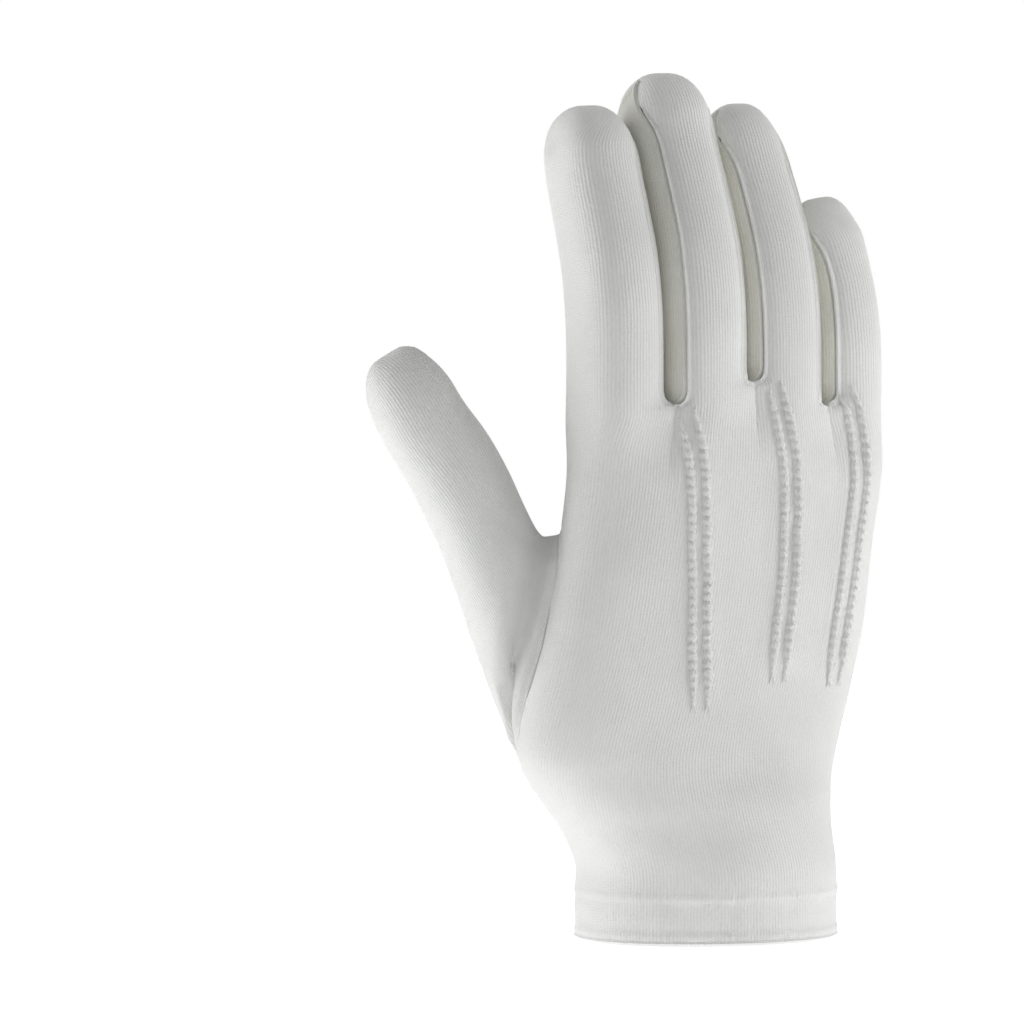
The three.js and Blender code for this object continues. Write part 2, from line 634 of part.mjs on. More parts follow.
// A ring of the thumb: angle 0 is its inner edge, towards the fingers, and 90 its back.
function thumbPoint(angle, t) {
  const length = thumbAxis(1).distanceTo(thumbAxis(0));
  const up = Math.min(1, Math.max(0, 1 - (1 - t) * length / TIP_ROUND));
  const dome = Math.sqrt(Math.max(0, 1 - up * up));
  const way = thumbAxis(Math.min(t + 0.02, 1)).sub(thumbAxis(t - 0.02)).normalize();
  const backWay = vector(0, -1, 0).addScaledVector(way, way.y).normalize();
  const innerWay = way.clone().cross(backWay);
  const [back, inner] = sectionPoint(angle, THUMB_WIDTH / 2 * follow(THUMB, 'depth', t) * dome,
    -THUMB_WIDTH / 2 * follow(THUMB, 'width', t) * mix(0.3, 1, dome), 0.06);
  return thumbAxis(t).addScaledVector(innerWay, inner).addScaledVector(backWay, back);
}

const THUMB_BASE_ROWS = [0, 0.14, 0.3, 0.48, 0.66, 0.84];
const THUMB_ROWS = [0, 0.14, 0.29, 0.45, 0.62, 0.8];
const slant = (angle) => (-THUMB_SLANT * (1 - Math.cos(angle * RADIANS)) / 2
  + BACK_LATER * Math.max(0, Math.sin(angle * RADIANS)));
function thumbSheet() {
  const around = Array.from({ length: THUMB_SIDES + 1 }, (_, k) => (k % THUMB_SIDES) * 360 / THUMB_SIDES);
  const length = thumbAxis(1).distanceTo(thumbAxis(0));
  const onDome = (turn) => 1 - TIP_ROUND * (1 - Math.sin(turn * 90 * RADIANS)) / length;
  const rows = [
    ...THUMB_BASE_ROWS.map((t) => around.map((angle) => thumbBasePoint(angle, t))),
    ...THUMB_ROWS.map((t) => around.map((angle) => thumbPoint(angle, mix(slant(angle), onDome(0), t)))),
    ...[0, ...TIP_TURNS].map((turn) => around.map((angle) => thumbPoint(angle, onDome(turn)))),
  ];
  return new Sheet().addGrid(rows.map((row) => row.reverse()));
}

// Between the hole and the thumb's tube the cloth leaves the hand at its own rise and arrives
// along the thumb. On the back it stays closer to the straight way.
const LEAVES = 0.9;
const LEAVES_BACK = 0.4;
const ARRIVES = 0.9;
function thumbBasePoint(angle, t) {
  const { point: start, leave } = holePoint(angle / 360, GAP);
  const end = thumbPoint(angle, slant(angle));
  const arrive = thumbPoint(angle, slant(angle) + 0.03).sub(end).normalize();
  const reach = start.distanceTo(end);
  const leaves = mix(LEAVES, LEAVES_BACK, Math.max(0, Math.sin(angle * RADIANS)));
  return start.clone().multiplyScalar((1 - t) ** 2 * (1 + 2 * t))
    .addScaledVector(end, t * t * (3 - 2 * t))
    .addScaledVector(leave, leaves * reach * t * (1 - t) ** 2)
    .addScaledVector(arrive, -ARRIVES * reach * t * t * (1 - t));
}

// The cutter for the thumb's hole: the outline carried square through the cloth, and leaning to
// its mean direction outside it, under a pointed roof.
const CUTTER_HALF = 4;
const CUTTER_ROOF = 16;
function thumbHoleCutter() {
  const count = THUMB_SIDES;
  const loop = Array.from({ length: count }, (_, k) => holePoint(k / count));
  const lean = loop.reduce((sum, { normal }) => sum.add(normal), vector(0, 0, 0)).normalize();
  const ring = (rise, leant) => loop.map(({ point, normal }) => (
    point.clone().addScaledVector(normal, rise).addScaledVector(lean, leant)));
  const rings = [ring(1, CUTTER_HALF), ring(0.4, 0), ring(-CUTTER_HALF, 0)];
  const middle = (list) => list.reduce((m, p) => m.add(p), vector(0, 0, 0)).divideScalar(count);
  const points = [...rings.flat(), middle(rings[0]).addScaledVector(lean, CUTTER_ROOF), middle(rings[2])];
  const triangles = [];
  for (let k = 0; k < count; k += 1) {
    const next = (k + 1) % count;
    for (const foot of [0, count]) {
      triangles.push(foot + k, foot + next, foot + k + count);
      triangles.push(foot + next, foot + next + count, foot + k + count);
    }
    triangles.push(3 * count, next, k, 3 * count + 1, k + 2 * count, next + 2 * count);
  }
  return solidOf(geometryOf(points, triangles));
}

// The hem's inner ply: the cloth turned up inside the cuff, from one edge of the closure round
// the back to the other. It stands out past the edge on top as the facing does.
const degreesPerMillimetre = (angle, height) => (
  1 / handPoint(angle + 0.5, height).distanceTo(handPoint(angle - 0.5, height)));
const UNDER_CLOTH = CLOTH + 2.2 * GAP;
const HEM_ROWS = [GAP * 1.5, 3.8, 8, HEM_HEIGHT];
function hemSheet() {
  const rows = HEM_ROWS.map((height) => {
    const over = follow(CLOSURE_EDGES, 'over', height);
    const under = follow(CLOSURE_EDGES, 'under', height);
    const start = over + 360 + FACING_SHOWS * degreesPerMillimetre(over, height);
    return Array.from({ length: HEM_COLUMNS + 1 }, (_, k) => {
      const angle = mix(start, under, k / HEM_COLUMNS);
      return clothPoint(angle > 100 ? angle - 360 : angle, height, UNDER_CLOTH, angle > 100);
    });
  });
  return new Sheet().addGrid(rows);
}

// The facing: a strip under the edge on top, from the hem up round the keyhole and down its
// other side to where the edges cross.
function facingSheet() {
  const keyholeFoot = SLIT_HEIGHT + 0.16 * KEYHOLE_HEIGHT;
  const scale = 1 / degreesPerMillimetre(SNAP_ANGLE, SLIT_HEIGHT + KEYHOLE_HEIGHT / 2);
  const edge = (side, height) => new THREE.Vector2(
    follow(CLOSURE_EDGES, side, height) * scale, height);
  const path = [];
  const climb = (low, high, side, steps) => {
    for (let k = 0; k <= steps; k += 1) path.push(edge(side, mix(low, high, k / steps)));
  };
  climb(HEM_HEIGHT + 4.6, KEYHOLE_TOP - 5, 'over', 12);
  path.push(edge('over', KEYHOLE_TOP - 1.8), edge('over', KEYHOLE_TOP), edge('under', KEYHOLE_TOP - 1.8));
  path.push(...Array.from({ length: 5 }, (_, k) => (
    edge('under', mix(KEYHOLE_TOP - 5, keyholeFoot, k / 4)))));
  const side = (k) => (k <= 14 ? 'over' : 'under');
  const rows = path.map((p, k) => {
    const way = path[Math.min(k + 1, path.length - 1)].clone().sub(path[Math.max(k - 1, 0)]).normalize();
    const away = new THREE.Vector2(-way.y, way.x);
    const shows = mix(FACING_SHOWS, FACING_ROUND, smooth((p.y - SLIT_HEIGHT + 6) / 9));
    return [-shows, 0, FACING_WIDTH / 2, FACING_WIDTH].map((distance) => {
      const q = p.clone().addScaledVector(away, distance);
      return clothPoint(q.x / scale, q.y, UNDER_CLOTH, side(k) === 'over');
    });
  });
  return new Sheet().addGrid(rows);
}

// The snap's two halves are turned on its axis, which leans a little to the little finger's side
// with the lifted cloth. Heights are from the outside of the lower cloth.
const SNAP_LEAN = 4;
const snapAxis = {
  foot: clothPoint(SNAP_ANGLE, SNAP_HEIGHT),
  way: handNormal(SNAP_ANGLE, SNAP_HEIGHT).applyAxisAngle(vector(0, 0, 1), -SNAP_LEAN * RADIANS),
};
const onSnapAxis = (geometry) => geometry
  .applyQuaternion(new THREE.Quaternion().setFromUnitVectors(vector(0, 1, 0), snapAxis.way))
  .translate(snapAxis.foot.x, snapAxis.foot.y, snapAxis.foot.z);
const turned = (outline) => onSnapAxis(new THREE.LatheGeometry(
  outline.map(([radius, height]) => new THREE.Vector2(radius, height)), ROUND_SIDES));
const SNAP_LIFT = closureLift(SNAP_ANGLE, SNAP_HEIGHT);
const TOP_CLOTH = SNAP_LIFT - CLOTH;          // underside of the cloth on top
const CAP_STANDS = 1.15;                      // the cap's underside over the cloth on its axis
const capOutline = () => {
  const [radius, foot] = [SNAP_DIAMETER / 2, SNAP_LIFT + CAP_STANDS];
  return [
    [0, foot + 1.55], [radius - 1.1, foot + 1.55], [radius - 0.35, foot + 1.3],
    [radius, foot + 0.75], [radius - 0.25, foot], [SHANK_RADIUS, foot],
    [SHANK_RADIUS, TOP_CLOTH - 2 * GAP], [SOCKET_RADIUS, TOP_CLOTH - 2 * GAP],
    [SOCKET_RADIUS, TOP_CLOTH - 1.5], [1.3, TOP_CLOTH - 1.5], [1.3, TOP_CLOTH + 0.3], [0, TOP_CLOTH + 0.3],
  ].reverse();
};
const studOutline = () => [
  [0, -CLOTH - 1.6], [FLANGE_RADIUS - 0.3, -CLOTH - 1.6], [FLANGE_RADIUS, -CLOTH - 1.2],
  [FLANGE_RADIUS, -CLOTH - 2 * GAP], [SHANK_RADIUS, -CLOTH - 2 * GAP], [SHANK_RADIUS, TOP_CLOTH - 1.9],
  [0.95, TOP_CLOTH - 1.75], [0.95, TOP_CLOTH - 0.2], [0, TOP_CLOTH],
];
const snapBore = (radius, from, to) => solidOf(turned([[0, from], [radius, from], [radius, to], [0, to]]));

// A raised point's welt: a half-round roll of cloth along the back, standing just off it.
function weltGeometry(cloth, point, side) {
  const rings = Array.from({ length: WELT_ROWS + 1 }, (_, j) => {
    const t = j / WELT_ROWS;
    const height = point.top * CROTCH_HEIGHT - POINT_LENGTH * (1 - t) - (side < 0 ? 2.5 * t : 0);
    const low = point.top * CROTCH_HEIGHT - POINT_LENGTH;
    const at = (height - low) / POINT_LENGTH;
    const x = follow(point.rows, 'x', at) * HAND_WIDTH + side * WELT_SPACING / 2;
    const fade = Math.min(1, 0.55 + 5 * Math.min(t, 1 - t));
    const stand = GAP * 1.5;
    const half = WELT_WIDTH / 2 * fade;
    const seat = (dx) => seatOn(cloth, x + dx, height);
    const [left, centre, right] = [seat(-half), seat(0), seat(half)];
    const lift = (place, rise) => place.point.clone().addScaledVector(centre.normal, rise);
    return [
      lift(left, stand), lift(left, stand + WELT_HEIGHT * fade * 0.55), lift(centre, stand + WELT_HEIGHT * fade),
      lift(right, stand + WELT_HEIGHT * fade * 0.55), lift(right, stand), lift(centre, stand + 0.1),
    ];
  });
  const sides = rings[0].length;
  const triangles = [];
  for (let j = 0; j < WELT_ROWS; j += 1) {
    for (let i = 0; i < sides; i += 1) {
      const [a, b] = [j * sides + i, j * sides + (i + 1) % sides];
      triangles.push(a, b, b + sides, a, b + sides, a + sides);
    }
  }
  const last = WELT_ROWS * sides;
  for (let i = 0; i < 4; i += 1) {
    triangles.push(5, i + 1, i, last + 5, last + i, last + i + 1);
  }
  return geometryOf(rings.flat(), triangles);
}

// Where a line along y meets the back of the cloth.
const down = new THREE.Raycaster();
function seatOn(cloth, x, height) {
  down.set(vector(x, -80, height), vector(0, 1, 0));
  const hit = down.intersectObject(cloth)[0];
  return { point: hit.point, normal: hit.face.normal };
}

const group = new THREE.Group();
const MATERIALS = {
  knit: { color: 0xf1f1ef, roughness: 0.93, metalness: 0 },
  sideKnit: { color: 0xeeeee9, roughness: 0.94, metalness: 0 },
  welt: { color: 0xf3f3f1, roughness: 0.93, metalness: 0 },
  snap: { color: 0xdfe3e6, roughness: 0.38, metalness: 0.05 },
};
function place(name, geometry, material) {
  const mesh = new THREE.Mesh(geometry, new THREE.MeshStandardMaterial(MATERIALS[material]));
  mesh.name = name;
  group.add(mesh);
  return mesh;
}

const trank = trankSheet();
const fourchettes = FORKS.map((_, fork) => fourchetteSheet(fork));
const thumb = thumbSheet();
const hem = hemSheet();
const facing = facingSheet();
shareNormals([trank, ...fourchettes, thumb, hem, facing]);

const postHole = snapBore(SHANK_RADIUS + GAP, -4, 8);
const snapRoom = snapBore(FLANGE_RADIUS + 2 * GAP, -5, TOP_CLOTH - 0.02);
const trankSolid = solidOf(clothSolid(trank)).subtract(thumbHoleCutter()).subtract(postHole);
const trankMesh = place('trank', geometryOfSolid(trankSolid), 'knit');
FORKS.forEach((_, fork) => {
  const name = `fourchette_${FINGERS[fork].name}_${FINGERS[fork + 1].name}`;
  place(name, clothSolid(fourchettes[fork]), 'sideKnit');
});
place('thumb', clothSolid(thumb), 'knit');
place('hem_ply', geometryOfSolid(solidOf(clothSolid(hem, 0, 1)).subtract(snapRoom)), 'knit');
place('slit_facing', clothSolid(facing, 0, 0.9), 'knit');
place('snap_cap', turned(capOutline()), 'snap');
place('snap_stud', turned(studOutline()), 'snap');
POINTS.forEach((point, k) => {
  place(`back_point_${k + 1}_left`, weltGeometry(trankMesh, point, -1), 'welt');
  place(`back_point_${k + 1}_right`, weltGeometry(trankMesh, point, 1), 'welt');
});

export default group;
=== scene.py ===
import math

import bpy
import numpy as np
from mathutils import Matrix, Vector
from mathutils.bvhtree import BVHTree


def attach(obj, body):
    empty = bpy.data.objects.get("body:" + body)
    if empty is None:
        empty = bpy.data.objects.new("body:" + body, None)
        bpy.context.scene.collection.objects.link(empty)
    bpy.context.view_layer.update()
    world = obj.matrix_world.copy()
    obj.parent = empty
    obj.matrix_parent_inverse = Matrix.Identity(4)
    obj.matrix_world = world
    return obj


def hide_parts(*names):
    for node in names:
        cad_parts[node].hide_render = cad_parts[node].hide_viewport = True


# A white cotton parade glove for a right hand, standing filled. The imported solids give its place
# and size; the cloth is cut here again from the same tables, in millimetres, with finer rows, so
# that seams, edges and stitches can have their real relief. Meshes are in metres.
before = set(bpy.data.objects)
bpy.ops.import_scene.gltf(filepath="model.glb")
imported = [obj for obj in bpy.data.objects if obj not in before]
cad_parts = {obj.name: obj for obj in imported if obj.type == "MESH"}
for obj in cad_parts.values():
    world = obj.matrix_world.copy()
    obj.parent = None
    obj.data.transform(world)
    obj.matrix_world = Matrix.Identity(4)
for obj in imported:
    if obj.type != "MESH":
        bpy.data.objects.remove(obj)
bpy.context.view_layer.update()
MM = 0.001

# Sizes of the glove
CLOTH = 1.1
GAP = 0.3
CROTCH_HEIGHT = 145
HAND_WIDTH = 91
HAND_DEPTH = 27
CUFF_WIDTH = 68
CUFF_DEPTH = 53
FINGER_WIDTH = 22
FINGER_DEPTH = 24.8
TIP_ROUND = 12
THUMB_WIDTH = 25
WEB_RADIUS = 5
HEM_HEIGHT = 12.5
POINT_LENGTH = 78
WELT_WIDTH = 2.7
WELT_HEIGHT = 1.8
WELT_SPACING = 4.1
SLIT_HEIGHT = 35
KEYHOLE_HEIGHT = 22
FACING_WIDTH = 7
FACING_SHOWS = 1.7
FACING_ROUND = 0.3
SEAM_ANGLE = 43
SEAM_POINT = 2.6
SEAM_NARROWS = 24
HEM_TOP = 17
SNAP_ANGLE = -164.5
SNAP_HEIGHT = 14.8
SNAP_LEAN = math.radians(-4)
CAP_RADIUS = 6.5
CAP_THICKNESS = 1.55

# The photo's view of the back, turned about the upright axis
VIEW_ANGLE = math.radians(-29)
VIEW_ACROSS = np.array([math.cos(VIEW_ANGLE), math.sin(VIEW_ANGLE), 0.0])
VIEW_TOWARDS = np.array([math.sin(VIEW_ANGLE), -math.cos(VIEW_ANGLE), 0.0])
FAR = 99.0


def table(names, *rows):
    """A table of sections by its column names."""
    columns = np.array(rows, float).T
    return dict(zip(names.split(), columns))


# Fingers from the forefinger to the little finger, as shares of the sizes above.
FINGERS = table(
    "x rootY tipY tip width depth narrowed seam",
    (-0.299, 0.06, 0.57, 1.512, 0.945, 0.985, 0.95, 1),
    (-0.044, -0.04, 0.62, 1.568, 1.0, 1.0, 0.93, 1),
    (0.216, 0.0, 0.65, 1.509, 1.0, 0.97, 0.84, 0.95),
    (0.46, 0.11, 0.43, 1.337, 0.87, 0.86, 0.84, 0.78),
)
FINGER_BEND = table(
    "at bend narrowing",
    (0, 0, 0),
    (0.27, 0.03, 0.06),
    (0.45, 0.19, 0.14),
    (0.6, 0.48, 0.28),
    (0.74, 0.78, 0.52),
    (0.86, 0.96, 1),
    (1, 1, 1.3),
)
TIP_BREADTH = 0.2
FINGER_SQUARE = 0.16
FORKS = table("back palm", (0.973, 0.952), (1.008, 0.976), (0.96, 0.926))

# Sections of the hand by height: the first four rows are shares of the cuff's width and depth.
HAND_SHARES = table(
    "at left right back palm square turn",
    (0, -0.5, 0.5, -0.5, 0.5, 0.03, 16),
    (0.07, -0.504, 0.504, -0.5, 0.5, 0.03, 16),
    (0.134, -0.499, 0.499, -0.49, 0.49, 0.03, 16),
    (0.207, -0.574, 0.476, -0.44, 0.47, 0.05, 14),
    (0.256, -0.489, 0.357, -0.81, 0.9, 0.07, 11),
    (0.3, -0.542, 0.368, -0.74, 0.88, 0.08, 8),
    (0.35, -0.579, 0.395, -0.69, 0.855, 0.08, 5),
    (0.44, -0.568, 0.445, -0.63, 0.82, 0.09, 2),
    (0.572, -0.516, 0.502, -0.57, 0.76, 0.11, 0),
    (0.717, -0.462, 0.534, -0.54, 0.66, 0.13, 0),
    (0.862, -0.432, 0.569, -0.51, 0.56, 0.15, 0),
    (1, -0.421, 0.577, -0.49, 0.51, 0.16, 0),
)
CUFF_ROWS = 4
of_cuff = np.arange(len(HAND_SHARES["at"])) < CUFF_ROWS
WIDTHS = np.where(of_cuff, CUFF_WIDTH, HAND_WIDTH)
DEPTHS = np.where(of_cuff, CUFF_DEPTH, HAND_DEPTH)
HAND = {
    "at": HAND_SHARES["at"] * CROTCH_HEIGHT,
    "left": HAND_SHARES["left"] * WIDTHS,
    "right": HAND_SHARES["right"] * WIDTHS,
    "back": HAND_SHARES["back"] * DEPTHS,
    "palm": HAND_SHARES["palm"] * DEPTHS,
    "square": HAND_SHARES["square"],
    "turn": np.radians(HAND_SHARES["turn"]),
}

THUMB_HOLE = table(
    "angle at rise",
    (-108, 0.738, 85),
    (-96, 0.69, 85),
    (-92, 0.57, 75),
    (-93, 0.44, 55),
    (-99, 0.325, 28),
    (-114, 0.235, 14),
    (-131, 0.225, 10),
    (-146, 0.305, 14),
    (-151, 0.44, 14),
    (-149, 0.58, 18),
    (-142, 0.68, 32),
    (-126, 0.738, 65),
)
THUMB = table(
    "at x y z width depth",
    (-0.55, -0.49, 0.12, 0.524, 1.24, 1.16),
    (0, -0.604, 0.209, 0.72, 1.0, 1.0),
    (0.4, -0.69, 0.264, 0.857, 0.99, 0.96),
    (0.75, -0.78, 0.308, 0.955, 0.94, 0.93),
    (1, -0.872, 0.341, 1.07, 0.9, 0.9),
)
THUMB_TIP_BREADTH = 0.3
THUMB_SQUARE = 0.06
THUMB_SLANT = 0.5
BACK_LATER = 0.22
LEAVES = 0.9
LEAVES_BACK = 0.4
ARRIVES = 0.9

# The closure's two edges, from the cuff to their crossing and from there round the keyhole.
SLIT = table(
    "at over under lift",
    (0, -163, -186, 1),
    (0.1, -152, -186, 1),
    (0.21, -144, -186, 1),
    (0.34, -140.5, -186, 1),
    (0.49, -141.5, -185.5, 1),
    (0.67, -149.5, -183, 1),
    (0.85, -160, -177, 1),
    (1, -170, -170, 0.95),
)
KEYHOLE = table(
    "at over under lift",
    (0.13, -175.5, -167.5, 0.8),
    (0.3, -180.3, -165.2, 0.58),
    (0.52, -183, -164.6, 0.34),
    (0.74, -182.6, -166, 0.16),
    (0.91, -179.4, -169.4, 0.04),
    (1, -174, -174, 0),
    (1.7, -169.5, -169.5, 0),
    (2.6, -165.5, -165.5, 0),
)
KEYHOLE_TOP = SLIT_HEIGHT + KEYHOLE_HEIGHT
EDGES = {
    name: np.concatenate([SLIT[name], KEYHOLE[name]])
    for name in ("over", "under", "lift")
}
EDGES["at"] = np.concatenate(
    [SLIT["at"] * SLIT_HEIGHT, SLIT_HEIGHT + KEYHOLE["at"] * KEYHOLE_HEIGHT]
)
CLOSURE_LIFT = 2 * CLOTH + 4 * GAP
EDGE_PROUD = 1.2
OVER_END = -250
UNDER_END = -90

# Raised points: x of each pair by height, and the height of their tops.
POINT_TOPS = (0.972, 1.018, 1.005)
POINTS = (
    table("at x", (0, -0.133), (0.45, -0.122), (0.85, -0.125), (1, -0.15)),
    table("at x", (0, 0.131), (0.3, 0.171), (0.6, 0.189), (0.85, 0.174), (1, 0.142)),
    table("at x", (0, 0.34), (0.4, 0.402), (0.75, 0.445), (0.9, 0.437), (1, 0.405)),
)

# Fineness
ARC_COLUMNS = 18
SIDE_COLUMNS = 24
HEM_ROW_COUNT = 34
LOWER_ROWS = 132
WEB_ROWS = 8
FINGER_ROWS = 50
TIP_ROWS = 9
THUMB_SIDES = 112
STRIP_COLUMNS = 12


def mix(a, b, t):
    return a + (b - a) * t


def clamp(t):
    return np.clip(t, 0, 1)


def smooth(t):
    t = clamp(t)
    return t * t * (3 - 2 * t)


def bell(t):
    """A soft hump: 1 in the middle, nearly 0 past 2."""
    return np.exp(-t * t)


def unit(v):
    return v / np.maximum(np.linalg.norm(v, axis=-1, keepdims=True), 1e-12)


def vec(x, y, z):
    return np.stack(np.broadcast_arrays(x, y, z), -1).astype(float)


def sine(degrees):
    return np.sin(np.radians(degrees))


def cosine(degrees):
    return np.cos(np.radians(degrees))


def wrapped(angle):
    return (np.asarray(angle, float) + 540) % 360 - 180


def follow(rows, column, t):
    """A smooth curve through one column of a table."""
    at, value = rows["at"], rows[column]
    last = len(at) - 1
    k = np.arange(last + 1)
    before, after = np.maximum(k - 1, 0), np.minimum(k + 1, last)
    slope = (value[after] - value[before]) / (at[after] - at[before])
    t = np.clip(t, at[0], at[-1])
    i = np.clip(np.searchsorted(at, t, side="right") - 1, 0, last - 1)
    span = at[i + 1] - at[i]
    u = (t - at[i]) / span
    ends = value[i] * (1 - u) ** 2 * (1 + 2 * u) + value[i + 1] * u * u * (3 - 2 * u)
    return ends + span * u * (1 - u) * (slope[i] * (1 - u) - slope[i + 1] * u)


def section(angle, half_width, half_depth, square):
    s, c = sine(angle), cosine(angle)
    return half_width * s * (1 + square * c * c), -half_depth * c * (1 + square * s * s)


def hand_point(angle, height):
    """The hand without its fingers: 0 degrees is the back, 90 the little finger's side."""
    left, right = follow(HAND, "left", height), follow(HAND, "right", height)
    depth = np.where(
        cosine(angle) > 0, -follow(HAND, "back", height), follow(HAND, "palm", height)
    )
    x, y = section(angle, (right - left) / 2, depth, follow(HAND, "square", height))
    turn = follow(HAND, "turn", height)
    s, c = np.sin(turn), np.cos(turn)
    return vec((left + right) / 2 + x * c + y * s, y * c - x * s, height)


def hand_normal(angle, height):
    across = hand_point(angle + 1, height) - hand_point(angle - 1, height)
    up = hand_point(angle, height + 1) - hand_point(angle, np.maximum(height - 1, -1))
    return unit(np.cross(across, up))


def finger_tip(finger):
    return FINGERS["tip"][finger] * CROTCH_HEIGHT


def seamed_angle(finger, turned, height):
    """Near a fingertip the side seams draw together until back and palm meet there."""
    drawn = (
        clamp((height - finger_tip(finger) + SEAM_NARROWS) / (SEAM_NARROWS - SEAM_POINT))
        ** 2.2
    )
    near = np.where(turned < 0, FINGERS["seam"][finger], 1)
    seam = mix(SEAM_ANGLE * near, 90, drawn)
    middle = np.where(np.abs(turned) < 90, 0, np.sign(turned) * 180)
    off = turned - middle
    beyond = (np.abs(off) - SEAM_ANGLE) / (90 - SEAM_ANGLE)
    moved = np.where(
        np.abs(off) <= SEAM_ANGLE,
        middle + off * seam / SEAM_ANGLE,
        middle + np.sign(off) * mix(seam, 90, beyond),
    )
    outer = ((finger == 0) & (turned < 0)) | ((finger == 3) & (turned > 0))
    return np.where(outer, turned, moved)


def sleeve_share(finger, height):
    return clamp((height - CROTCH_HEIGHT) / (finger_tip(finger) - CROTCH_HEIGHT))


def sleeve_axis(finger, height):
    bend = follow(FINGER_BEND, "bend", sleeve_share(finger, height))
    y = mix(FINGERS["rootY"][finger], FINGERS["tipY"][finger], bend) * HAND_DEPTH
    return vec(FINGERS["x"][finger] * HAND_WIDTH, y, height)


def sleeve_point(finger, turned, height):
    angle = seamed_angle(finger, turned, height)
    up = clamp((height - finger_tip(finger) + TIP_ROUND) / TIP_ROUND)
    dome = np.sqrt(np.maximum(0, 1 - up * up))
    narrowing = follow(FINGER_BEND, "narrowing", sleeve_share(finger, height))
    size = mix(1, FINGERS["narrowed"][finger], narrowing)
    half_width = FINGER_WIDTH / 2 * FINGERS["width"][finger] * size * mix(TIP_BREADTH, 1, dome)
    half_depth = FINGER_DEPTH / 2 * FINGERS["depth"][finger] * size * dome
    across, deep = section(angle, half_width, half_depth, FINGER_SQUARE)
    lean = unit(sleeve_axis(finger, height + 2) - sleeve_axis(finger, height - 2))
    depth_way = vec(0, lean[..., 2], -lean[..., 1])
    centre = sleeve_axis(finger, height) + vec(across, 0, 0)
    return centre + depth_way * np.asarray(deep)[..., None]


def fork_height(fork, angle):
    share = clamp((np.abs(angle) - SEAM_ANGLE) / (180 - 2 * SEAM_ANGLE))
    return mix(FORKS["back"][fork], FORKS["palm"][fork], share) * CROTCH_HEIGHT


def root_height(finger, angle):
    angle = wrapped(angle)
    if finger == 0:
        return fork_height(0, angle)
    if finger == 3:
        return fork_height(2, angle)
    across = (sine(angle) / sine(SEAM_ANGLE) + 1) / 2
    return mix(fork_height(finger - 1, angle), fork_height(finger, angle), smooth(across))


def finger_point(finger, angle, height):
    """A finger's surface with its root drawn in to the forks."""
    turned = wrapped(angle)
    turned, height = np.broadcast_arrays(turned, np.asarray(height, float))
    point = sleeve_point(finger, turned, height)
    for side in (-1, 1):
        fork = finger - 1 if side < 0 else finger
        if not 0 <= fork <= 2:
            continue
        foot = fork_height(fork, turned)
        rise = clamp((height - foot) / WEB_RADIUS)
        pull = 1 - np.sqrt(np.maximum(0, 1 - (1 - rise) ** 2))
        off = np.minimum(np.abs(turned), 180 - np.abs(turned))
        near = smooth((off - 8) / (SEAM_ANGLE - 8)) * (turned * side > 0)
        mine = sleeve_point(finger, turned, foot)
        other = sleeve_point(finger + side, -turned, foot)
        point = point + (other - mine) * (pull * near / 2)[..., None]
    return point


def closure_lift(angle, height):
    edge = follow(EDGES, "over", height)
    share = clamp((angle - OVER_END) / (edge - OVER_END))
    lift = CLOSURE_LIFT * smooth((share - 0.3) / 0.28)
    lift = lift + EDGE_PROUD * smooth((share - 0.55) / 0.45)
    return np.where(height < KEYHOLE_TOP, lift * follow(EDGES, "lift", height), 0)


def cloth_point(angle, height, depth=0.0, over=False):
    """A place on the hand's cloth, or under it. over: on the closure's lifted side."""
    angle, height = np.broadcast_arrays(np.asarray(angle, float), np.asarray(height, float))
    rise = (closure_lift(angle, height) if over else 0) - depth
    rise = np.broadcast_to(rise, angle.shape)
    return hand_point(angle, height) + hand_normal(angle, height) * rise[..., None]


# The trank's columns: back from the little finger's seam to the forefinger's side, then palm.
FORK_ANGLES = (-30, 1, 32)
SEAM_DRIFT = 24
ROOT_BLEND = 20
CLOSURE_MIDDLE = -180 - (FORK_ANGLES[0] + FORK_ANGLES[1]) / 2
CLOSURE_GROUP = 5
fork_1, fork_2, fork_3 = FORK_ANGLES
BACK_GROUPS = [
    {"finger": 3, "from": (100, 90), "to": (fork_3, -SEAM_ANGLE), "columns": SIDE_COLUMNS},
    {"finger": 2, "from": (fork_3, SEAM_ANGLE), "to": (fork_2, -SEAM_ANGLE), "columns": ARC_COLUMNS},
    {"finger": 1, "from": (fork_2, SEAM_ANGLE), "to": (fork_1, -SEAM_ANGLE), "columns": ARC_COLUMNS},
    {"finger": 0, "from": (fork_1, SEAM_ANGLE), "to": (-90, -90), "columns": SIDE_COLUMNS},
]


def mirrored(ends):
    return tuple(-180 - angle for angle in ends)


PALM_GROUPS = [
    {**g, "from": mirrored(g["to"]), "to": mirrored(g["from"])} for g in BACK_GROUPS[::-1]
]
PALM_GROUPS[-1]["to"] = (-260, -270)
GROUPS = BACK_GROUPS + PALM_GROUPS


def drifted(hand, height):
    towards_seam = clamp((np.abs(hand + 80) - 112) / 68)
    low = smooth(1 - (height / CROTCH_HEIGHT - 0.05) / 0.4)
    return hand + SEAM_DRIFT * towards_seam * low


